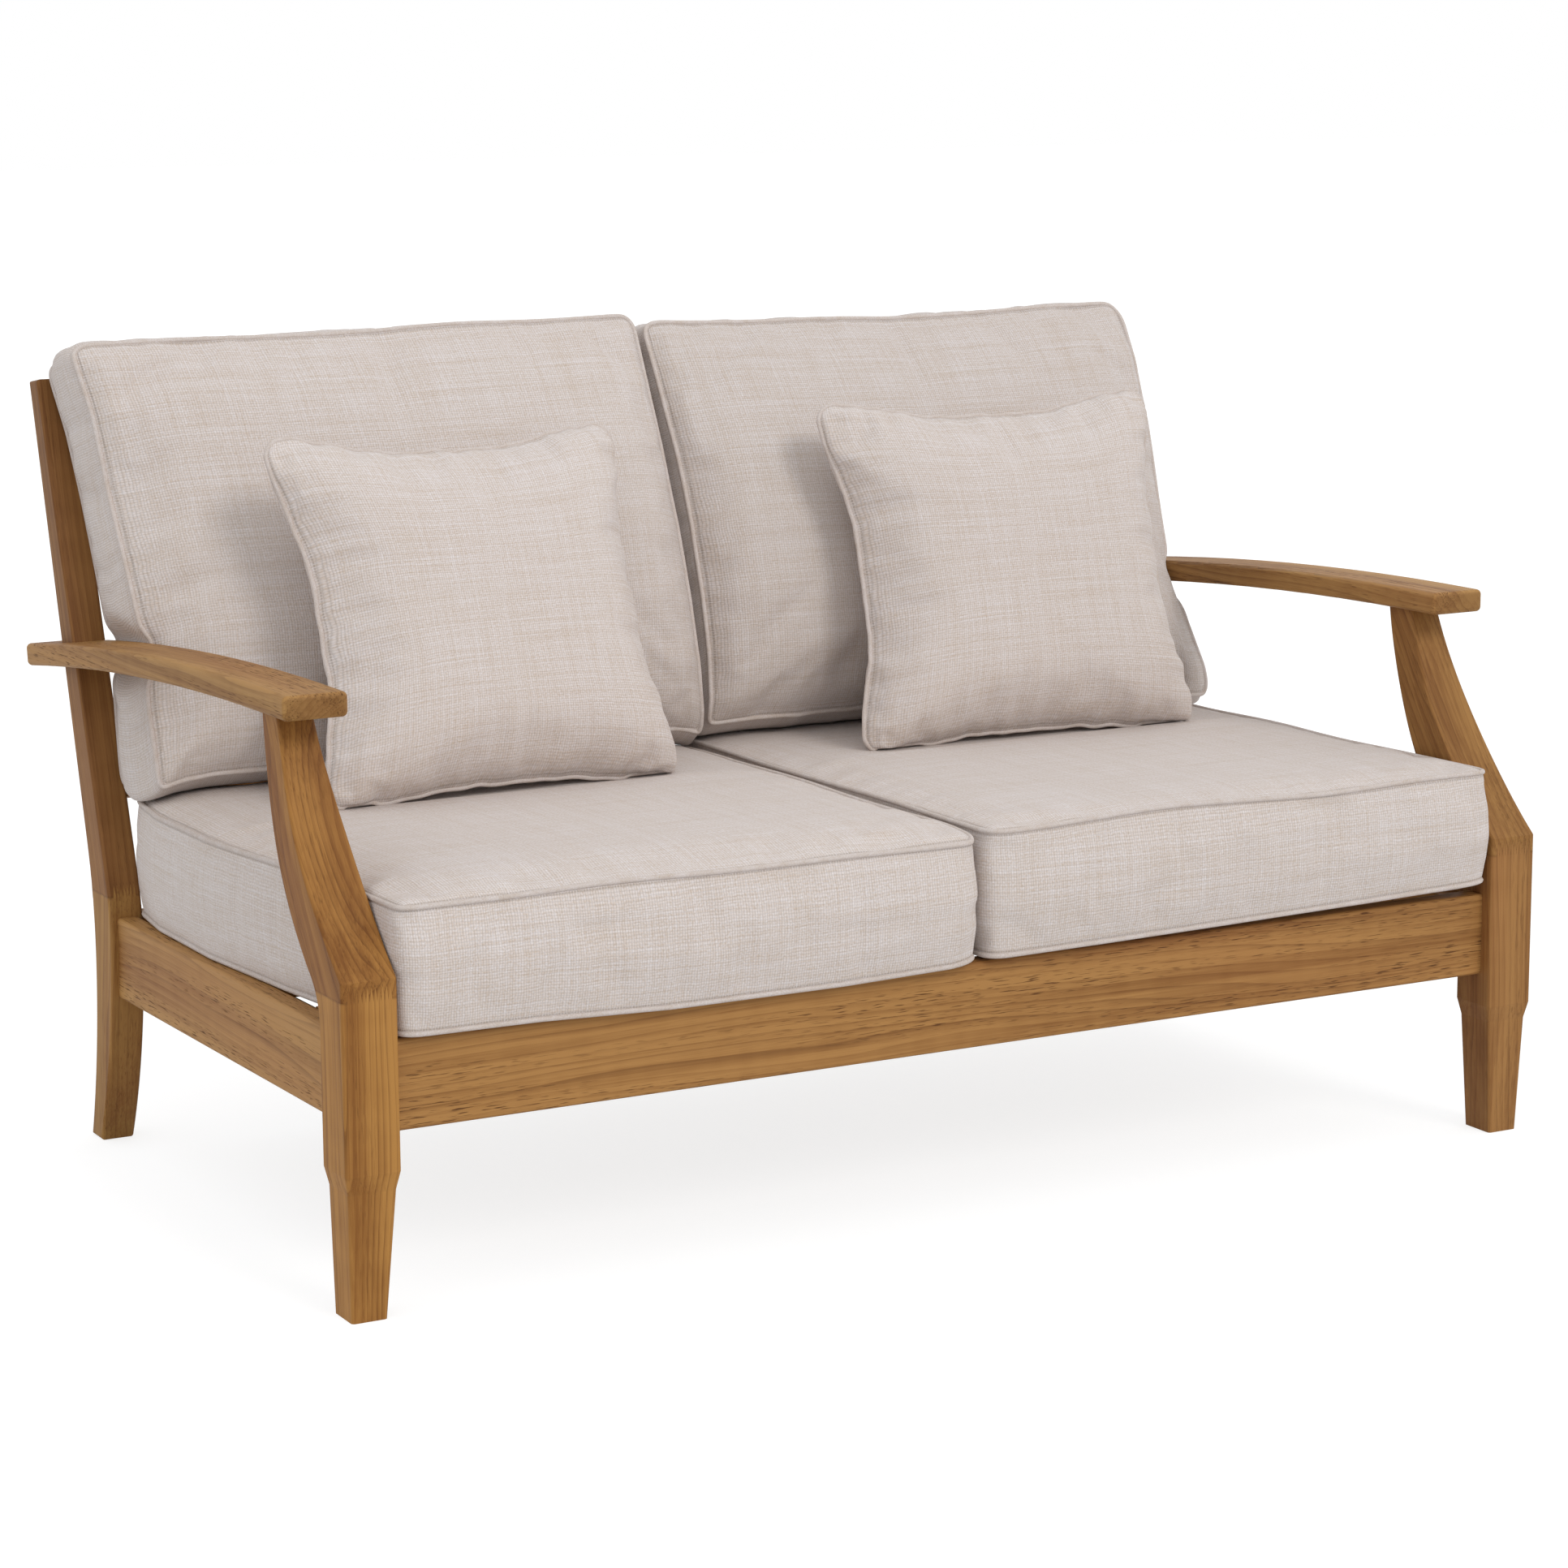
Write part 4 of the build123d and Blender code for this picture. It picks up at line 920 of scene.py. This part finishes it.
BACK_SPREADS = {
    "left": (0.018, 0.020, 0.020, 0.018, 0.014, 0.019, 0.024, 0.030, 0.038, 0.041),
    "right": (0.042, 0.043, 0.040, 0.025, 0.013, 0.017, 0.024, 0.029, 0.028, 0.024),
}
BACK_TOP_DROPS = {
    "left": (-0.001, 0.003, 0.003, 0.002, -0.003),
    "right": (0.007, 0.015, 0.018, 0.015, 0.009),
}
FRONT_RISE = 0.024
REAR_RISE = 0.008
SEAT_CROWN_TOP = 0.1534

ARM_INNER = 0.6856
ARM_LEVEL = 0.6098
ARM_SLOPE = 0.09
ARM_HALF = 0.0134


def back_cushion(side):
    """One loose back cushion, fullest at the lumbar, thin at its head, flat on the seat."""
    settings = bpy.context.scene.loveseat_back
    piece = even_box(f"back_cushion_{side}", *BACK_CELLS)
    cells = coordinates(piece)
    s, t, q = cells.T
    sign = SIDES[side]
    half_x = bpy.context.scene.loveseat_seat.width / 2
    border = np.maximum(np.abs(s), np.abs(t)) > EDGE
    strip = border & (q > 1 - EDGE) & (q < EDGE)
    swell = np.where(strip, np.sin(np.pi * q), 0.0)
    x = s * (half_x - SIDE_DRAW * (1 - t ** 2))
    x, pulled = rounded_corners(s, t, x, t * settings.height / 2, half_x, settings.height / 2,
                                np.where(t < 0, FOOT_CORNER, HEAD_CORNER))
    share = pulled / settings.height + 0.5
    outward = (1 + sign * s) / 2
    x = x + sign * outward ** 1.5 * np.interp(share, BACK_HEIGHTS, BACK_SPREADS[side])
    fullness = np.where(sign * s > 0, OUTER_SWELL, SIDE_SWELL) * (1 - 0.4 * share)
    x = x + np.where(np.abs(s) > EDGE, np.sign(s) * fullness * swell, 0.0)

    inner = np.interp(share, BACK_HEIGHTS, INNER_SEAMS)
    outer = np.interp(share, BACK_HEIGHTS, OUTER_SEAMS[side])
    seam = (inner + outward ** 1.5 * (outer - inner)) * settings.thickness
    crown = np.interp(share, BACK_HEIGHTS, BACK_CROWNS) * settings.crown
    arch = (1 - s ** 4) ** 0.55
    lift = edge_distance(s, t, half_x, settings.height / 2)
    front = seam + crown * arch + 0.007 * soften(lift, 0.0, 0.02)
    back_puff = np.interp(lift / 0.04, (0, 0.3, 1.0), (0, 0.55, 1.0))
    f = REAR_SEAM + q * (seam + crown * arch - REAR_SEAM)
    f = np.where(q > EDGE, front, f)
    f = np.where(q < 1 - EDGE, REAR_SEAM - (REAR_SEAM - REAR_LEVEL) * back_puff, f)
    ripple = noise_at(cells, (5.0 * half_x, 1.7, 6.0), (5.0 * sign, 0.0, 2.0))
    f = f + np.where(border & (q > 0.2), 0.005 * ripple, 0.0)

    base = BACK_ORIGIN - SEAT_ORIGIN
    foot = (SEAT_CROWN_TOP - base @ SEAT_UP - f * (BACK_OUT @ SEAT_UP)) / (BACK_UP @ SEAT_UP)
    crown_below = np.interp((1 - np.abs(s)) * half_x / CROWN_REACH, SEAT_CROWN_SHARES,
                            SEAT_CROWN_RISES)
    fall = bpy.context.scene.loveseat_seat.crown
    if side == "right":
        fall -= bpy.context.scene.loveseat_seat.lift
    foot = foot - fall * (1 - crown_below)
    rise = np.where(q > 0.5, FRONT_RISE, REAR_RISE) * (2 * q - 1) ** 2
    drop = np.interp(s, np.linspace(-1, 1, 5), BACK_TOP_DROPS[side])
    top = settings.foot + settings.height - drop
    h = foot + rise + share * (top - foot - rise)
    h = h + np.where(t > EDGE, HEAD_SWELL * swell + 0.004 * ripple, 0.0)
    move_points(piece, placed(BACK_ORIGIN, (x + sign * SEAT_MIDDLE, ACROSS), (h, BACK_UP),
                              (f, BACK_OUT)))
    weave_map(piece, cells, (2 * half_x, settings.height, settings.thickness))
    mark_seams(piece, cells, ("rear seam", "front seam"), CREASE)
    give = np.where(q < 1 - EDGE, 0.1, np.where(t < -EDGE, 0.25, 1.0))
    fill_with_air(piece, pressure=2.5, growth=0.02, cap=0.010, give=give)
    y, z = coordinates(piece)[:, 1:].T
    from_arm = np.abs(z - ARM_LEVEL + ARM_SLOPE * y) - ARM_HALF
    room = ARM_INNER + ROUND_SLOPE * np.maximum(from_arm - ROUND_START, 0.0)
    keep_clear(piece, sign, room, PIPING_ROOM * (border & ~strip))
    settle_on(piece, bpy.data.objects[f"seat_cushion_{side}"], cells, Vector(BACK_UP))
    subdivide(piece, 1)
    return piece


# Throw pillows

PILLOW_POSES = {
    "left": {"turn": 4.5, "roll": -0.9, "lean": 22.0, "shift": (-0.017, -0.004, 0.004)},
    "right": {"turn": -4.1, "roll": 0.0, "lean": 19.0, "shift": (0.036, -0.004, 0.005)},
}
PILLOW_CELLS = (60, 60, 1)
PILLOW_TIP = 0.025
PILLOW_EDGE = 0.0012
SIDE_DRAWS = (0.028, 0.018)
LEVEL_DRAWS = (0.024, 0.014)
BEHIND_ROOM = 0.0035
FRONT_ROOM = 0.0024
BELOW_ROOM = 0.0032


def rounded_tips(s, t, x, y, half, tip):
    """Rounds the four tips of a square outline to an arc."""
    start = 1 - tip / half
    a = np.clip((np.abs(s) - start) / (1 - start), 0, 1)
    b = np.clip((np.abs(t) - start) / (1 - start), 0, 1)
    return (x - np.sign(s) * tip * a * (1 - np.sqrt(1 - b ** 2 / 2)),
            y - np.sign(t) * tip * b * (1 - np.sqrt(1 - a ** 2 / 2)))


def press_against(piece, other, outward, cords):
    """Flattens a piece where it would sink into another, and leaves room for its cord."""
    surface = surface_of(other)
    for point in piece.data.vertices:
        place, normal, _, _ = surface.ray_cast(point.co, outward)
        if place is not None and normal.dot(outward) > 0:
            point.co = place + outward * (PRESS_GAP + cords[point.index])


def throw_pillow(side):
    """One knife-edged square pillow that leans on its back cushion."""
    settings = bpy.context.scene.loveseat_pillow
    piece = even_box(f"throw_pillow_{side}", *PILLOW_CELLS)
    cells = coordinates(piece)
    s, t, q = cells.T
    sign = SIDES[side]
    half_x, half_y = settings.width / 2, settings.height / 2
    s, t = (s + np.sin(s * np.pi / 2)) / 2, (t + np.sin(t * np.pi / 2)) / 2
    cells = np.column_stack([s, t, q])
    draw_side = np.where(s < 0, *SIDE_DRAWS) * (1 - soften(np.abs(t), 0.25, 0.96))
    draw_level = np.where(t > 0, *LEVEL_DRAWS) * (1 - soften(np.abs(s), 0.25, 0.96))
    x, y = rounded_tips(s, t, s * (half_x - draw_side), t * (half_y - draw_level), half_y,
                        PILLOW_TIP)
    full = 1 - np.abs(s) ** np.where(s > 0, 5.0, 2.8)
    full = full * (1 - np.abs(t) ** np.where(t < 0, 4.5, 2.6))
    full = np.maximum(full, 0.0) ** 0.5
    face = np.where(q > 0.5, 1.0, -1.0)
    w = face * (PILLOW_EDGE + (settings.half_thickness - 0.003) * full)
    low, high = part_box(f"throw_pillow_cover_{side}")
    pose = PILLOW_POSES[side]
    centre = (low + high) / 2 + Vector(pose["shift"])
    turn, roll, lean = (math.radians(pose[key]) for key in ("turn", "roll", "lean"))
    place = Matrix.Translation(centre) @ Matrix.Rotation(turn, 4, "Z") \
        @ Matrix.Rotation(math.pi / 2 - lean, 4, "X") @ Matrix.Rotation(roll, 4, "Z")
    turned = np.array(place.to_3x3())
    wave = noise_at(cells, (3.0, 3.0, 0.0), (7.0 * sign, 0.0, 1.0))
    w = w + 0.005 * wave * (1 - full)
    ruffle = noise_at(cells, (9.0, 9.0, 0.0), (0.0, 0.0, 2.0 + sign))
    w = w + face * 0.003 * ruffle * (1 - full)
    y = y + 0.003 * ruffle * np.abs(t) ** 4
    gathers = np.abs(s) ** 6 * noise_at(cells, (1.2, 10.0, 0.0), (0.0, 0.0, 5.0 + sign)) \
        + np.abs(t) ** 6 * noise_at(cells, (10.0, 1.2, 0.0), (0.0, 0.0, 9.0 + sign))
    w = w + face * 0.012 * gathers * np.sqrt(full)
    places = np.column_stack([x, y, w]) @ turned.T + np.array(place.translation)
    move_points(piece, places)
    weave_map(piece, cells, (settings.width, settings.height, 0.003), 2.2)
    mark_seams(piece, cells, ("rear edge", "front edge"), 0.6)
    give = np.where(q > 0.5, 1.0, 0.5)
    fill_with_air(piece, pressure=3.0, growth=0.03, cap=0.009, give=give)
    on_edge = np.maximum(np.abs(s), np.abs(t)) > EDGE
    press_against(piece, bpy.data.objects[f"back_cushion_{side}"], Vector(turned[:, 2]),
                  on_edge * BEHIND_ROOM + (on_edge & (q > 0.5)) * FRONT_ROOM)
    press_against(piece, bpy.data.objects[f"seat_cushion_{side}"], Vector(SEAT_UP),
                  on_edge * BELOW_ROOM)
    subdivide(piece, 1)
    return piece


def upholster(kind, make, filling, seams):
    """Makes a kind of cushion for both sides, pipes its seams and puts it in its solids' place."""
    radius = bpy.context.scene.loveseat_cloth.piping
    for side in SIDES:
        piece, body = make(side), f"{kind}_{side}"
        for seam, name in seams.items():
            trim(piping(piece, seam, f"{name}_{side}", radius), body)
        dress(piece, body, (f"{kind}_cover_{side}", f"{kind}_{filling}_{side}"))


# Operators

class LOVESEAT_OT_teak_frame(bpy.types.Operator):
    """Gives every wooden piece its own cut of teak"""

    bl_idname = "loveseat.teak_frame"
    bl_label = "Teak Frame"

    def execute(self, context):
        for seed, (node, run, lean) in enumerate(teak_nodes()):
            label = "teak " + node.replace("_", " ")
            # The tint paints reflection on some pieces and shade on others; the rest get a random
            # tone.
            tint = PIECE_TINTS_AND_PAINTED_LIGHT.get(node, (1.0 + 0.05 * math.sin(seed * 1.7),) * 3)
            fingers = FINGERED.get(node.rsplit("_", 1)[0])
            finish_node(node, teak(label, run, seed, lean, tint, fingers))
        return {"FINISHED"}


class LOVESEAT_OT_fixings(bpy.types.Operator):
    """Gives the dowels their beech, and the screws and bolts their steel"""

    bl_idname = "loveseat.fixings"
    bl_label = "Dowels, Screws and Bolts"

    def execute(self, context):
        finish_node("arm_dowels", teak("beech dowels", "upright", 77, 0.0, (1.6, 1.7, 2.0)))
        steel, tree, shader = new_material("brushed steel")
        place = add(tree, "ShaderNodeTexCoord").outputs["Object"]
        brushed = stretched_noise(tree, place, (90.0, 900.0, 900.0))
        feed(shader.inputs["Roughness"], brushed.spread(0.3, 0.7, 0.28, 0.46))
        feed(shader.inputs["Base Color"],
             blended(tree, brushed, (0.50, 0.49, 0.47), (0.64, 0.63, 0.61)))
        set_levels(shader, {"Metallic": 1.0})
        for node in ("arm_screws", "corner_bolts", "slat_screws"):
            finish_node(node, steel)
        return {"FINISHED"}


class LOVESEAT_OT_seat_cushions(bpy.types.Operator):
    """Makes the two boxed seat cushions with piping along both seams"""

    bl_idname = "loveseat.seat_cushions"
    bl_label = "Seat Cushions"

    def execute(self, context):
        upholster("seat_cushion", seat_cushion, "core",
                  {"lower seam": "seat_piping_lower", "upper seam": "seat_piping_upper"})
        return {"FINISHED"}


class LOVESEAT_OT_back_cushions(bpy.types.Operator):
    """Makes the two loose back cushions with piping along both seams"""

    bl_idname = "loveseat.back_cushions"
    bl_label = "Back Cushions"

    def execute(self, context):
        upholster("back_cushion", back_cushion, "core",
                  {"rear seam": "back_piping_rear", "front seam": "back_piping_front"})
        return {"FINISHED"}


class LOVESEAT_OT_throw_pillows(bpy.types.Operator):
    """Makes the two square throw pillows with a piped knife edge"""

    bl_idname = "loveseat.throw_pillows"
    bl_label = "Throw Pillows"

    def execute(self, context):
        upholster("throw_pillow", throw_pillow, "insert", {"front edge": "pillow_piping"})
        return {"FINISHED"}


class LOVESEAT_OT_stage(bpy.types.Operator):
    """Sets the white floor, the soft light and the camera"""

    bl_idname = "loveseat.stage"
    bl_label = "Stage"

    def execute(self, context):
        settings = context.scene.loveseat_stage
        scene = context.scene
        bpy.ops.object.select_all(action="DESELECT")
        bpy.ops.mesh.primitive_plane_add(size=60, location=(0, 0, 0))
        floor = context.object
        floor.name = "floor"
        floor.data.materials.append(floor_white())

        world = bpy.data.worlds.new("white studio")
        world.use_nodes = True
        scene.world = world
        tree = world.node_tree
        tree.nodes.clear()
        light = add(tree, "ShaderNodeBackground", {0: SKY_COLOUR, 1: settings.sky})
        white = add(tree, "ShaderNodeBackground", {0: WHITE, 1: 1.0})
        mix = add(tree, "ShaderNodeMixShader",
                  {0: background_rays(tree), 1: light.outputs[0], 2: white.outputs[0]})
        add(tree, "ShaderNodeOutputWorld", {0: mix.outputs[0]})

        bpy.ops.object.light_add(type="SUN", location=KEY_PLACE)
        lamp = context.object
        lamp.name = "key light"
        lamp.data.energy = settings.sun
        lamp.data.angle = KEY_ANGLE
        lamp.data.color = KEY_COLOUR
        lamp.rotation_euler = Vector(KEY_PLACE).to_track_quat("Z", "Y").to_euler()

        bpy.ops.object.camera_add()
        camera = context.object
        camera.name = "photo camera"
        camera.data.lens = settings.lens
        camera.data.sensor_width = 36
        camera.matrix_world = camera_place()
        scene.camera = camera
        scene.view_settings.view_transform = "Standard"
        return {"FINISHED"}


KEY_PLACE = (1.0, -4.3, 3.2)
KEY_ANGLE = math.radians(20)
KEY_COLOUR = (1.0, 0.97, 0.93)
SKY_COLOUR = (0.955, 0.98, 1.0)
WHITE = (1.0, 1.0, 1.0)
GROUND_TONE = 0.70
SHADOW_SHARE = 0.34
FLOOR_GLOW = 0.78
CAMERA_PLACE = (-2.245, -4.143255, 1.3045)
CAMERA_YAW, CAMERA_PITCH, CAMERA_ROLL = 0.4986, 0.1874, -0.0057


def background_rays(tree):
    """Full for the rays that show the white background: camera, glossy and transmission rays."""
    path = add(tree, "ShaderNodeLightPath").outputs
    clear = Value(path["Is Glossy Ray"]).math("MAXIMUM", path["Is Transmission Ray"])
    return Value(path["Is Camera Ray"]).math("MAXIMUM", clear)


def floor_white():
    """Near-white floor that stays white to the camera and keeps the object's shadow."""
    material = bpy.data.materials.new("studio floor")
    material.use_nodes = True
    tree = material.node_tree
    tree.nodes.clear()
    ground = add(tree, "ShaderNodeBsdfDiffuse", {0: (GROUND_TONE,) * 3})
    shaded = add(tree, "ShaderNodeBsdfDiffuse", {0: (SHADOW_SHARE,) * 3})
    glow = add(tree, "ShaderNodeEmission", {0: WHITE, 1: FLOOR_GLOW})
    both = add(tree, "ShaderNodeAddShader", {0: shaded.outputs[0], 1: glow.outputs[0]})
    mix = add(tree, "ShaderNodeMixShader",
              {0: background_rays(tree), 1: ground.outputs[0], 2: both.outputs[0]})
    add(tree, "ShaderNodeOutputMaterial", {0: mix.outputs[0]})
    return material


def camera_place():
    """Where the camera stands and how it is turned, as a matrix."""
    yaw, pitch, roll = CAMERA_YAW, CAMERA_PITCH, CAMERA_ROLL
    ahead = Vector((math.sin(yaw) * math.cos(pitch), math.cos(yaw) * math.cos(pitch),
                    -math.sin(pitch)))
    right = Vector((math.cos(yaw), -math.sin(yaw), 0.0))
    up = right.cross(ahead)
    turned_right = right * math.cos(roll) + up * math.sin(roll)
    turned_up = up * math.cos(roll) - right * math.sin(roll)
    place = Matrix((turned_right, turned_up, -ahead)).transposed().to_4x4()
    place.translation = CAMERA_PLACE
    return place


class LOVESEAT_PT_tools(bpy.types.Panel):
    """Lists the loveseat's pieces and settings"""

    bl_idname = "LOVESEAT_PT_tools"
    bl_label = "Patio Loveseat"
    bl_space_type = "VIEW_3D"
    bl_region_type = "UI"
    bl_category = "Loveseat"

    def draw(self, context):
        layout = self.layout
        for operator, owner, names in PANEL_ROWS:
            box = layout.box()
            if operator:
                box.operator(operator)
            else:
                box.label(text="Cloth of All Cushions")
            for name in names:
                box.prop(getattr(context.scene, owner), name)


PANEL_ROWS = (
    ("loveseat.teak_frame", "loveseat_teak", ("light", "middle", "dark", "ring_width", "figure")),
    ("loveseat.fixings", "loveseat_teak", ()),
    ("", "loveseat_cloth", ("light", "dark", "pitch", "piping")),
    ("loveseat.seat_cushions", "loveseat_seat",
     ("width", "length", "belly", "boxing", "crown", "lift")),
    ("loveseat.back_cushions", "loveseat_back", ("foot", "height", "thickness", "crown")),
    ("loveseat.throw_pillows", "loveseat_pillow", ("width", "height", "half_thickness")),
    ("loveseat.stage", "loveseat_stage", ("sky", "sun", "lens")),
)

GROUPS = {
    "loveseat_teak": LoveseatTeak,
    "loveseat_cloth": LoveseatCloth,
    "loveseat_seat": LoveseatSeat,
    "loveseat_back": LoveseatBack,
    "loveseat_pillow": LoveseatPillow,
    "loveseat_stage": LoveseatStage,
}

CLASSES = (
    *GROUPS.values(),
    LOVESEAT_OT_teak_frame,
    LOVESEAT_OT_fixings,
    LOVESEAT_OT_seat_cushions,
    LOVESEAT_OT_back_cushions,
    LOVESEAT_OT_throw_pillows,
    LOVESEAT_OT_stage,
    LOVESEAT_PT_tools,
)


def register():
    for kind in CLASSES:
        bpy.utils.register_class(kind)
    for name, kind in GROUPS.items():
        setattr(bpy.types.Scene, name, PointerProperty(type=kind))


def unregister():
    for name in GROUPS:
        delattr(bpy.types.Scene, name)
    for kind in reversed(CLASSES):
        bpy.utils.unregister_class(kind)


def main():
    """Makes every piece in order."""
    register()
    bpy.ops.loveseat.teak_frame()
    bpy.ops.loveseat.fixings()
    bpy.ops.loveseat.seat_cushions()
    bpy.ops.loveseat.back_cushions()
    bpy.ops.loveseat.throw_pillows()
    bpy.ops.loveseat.stage()


if __name__ == "__main__":
    main()
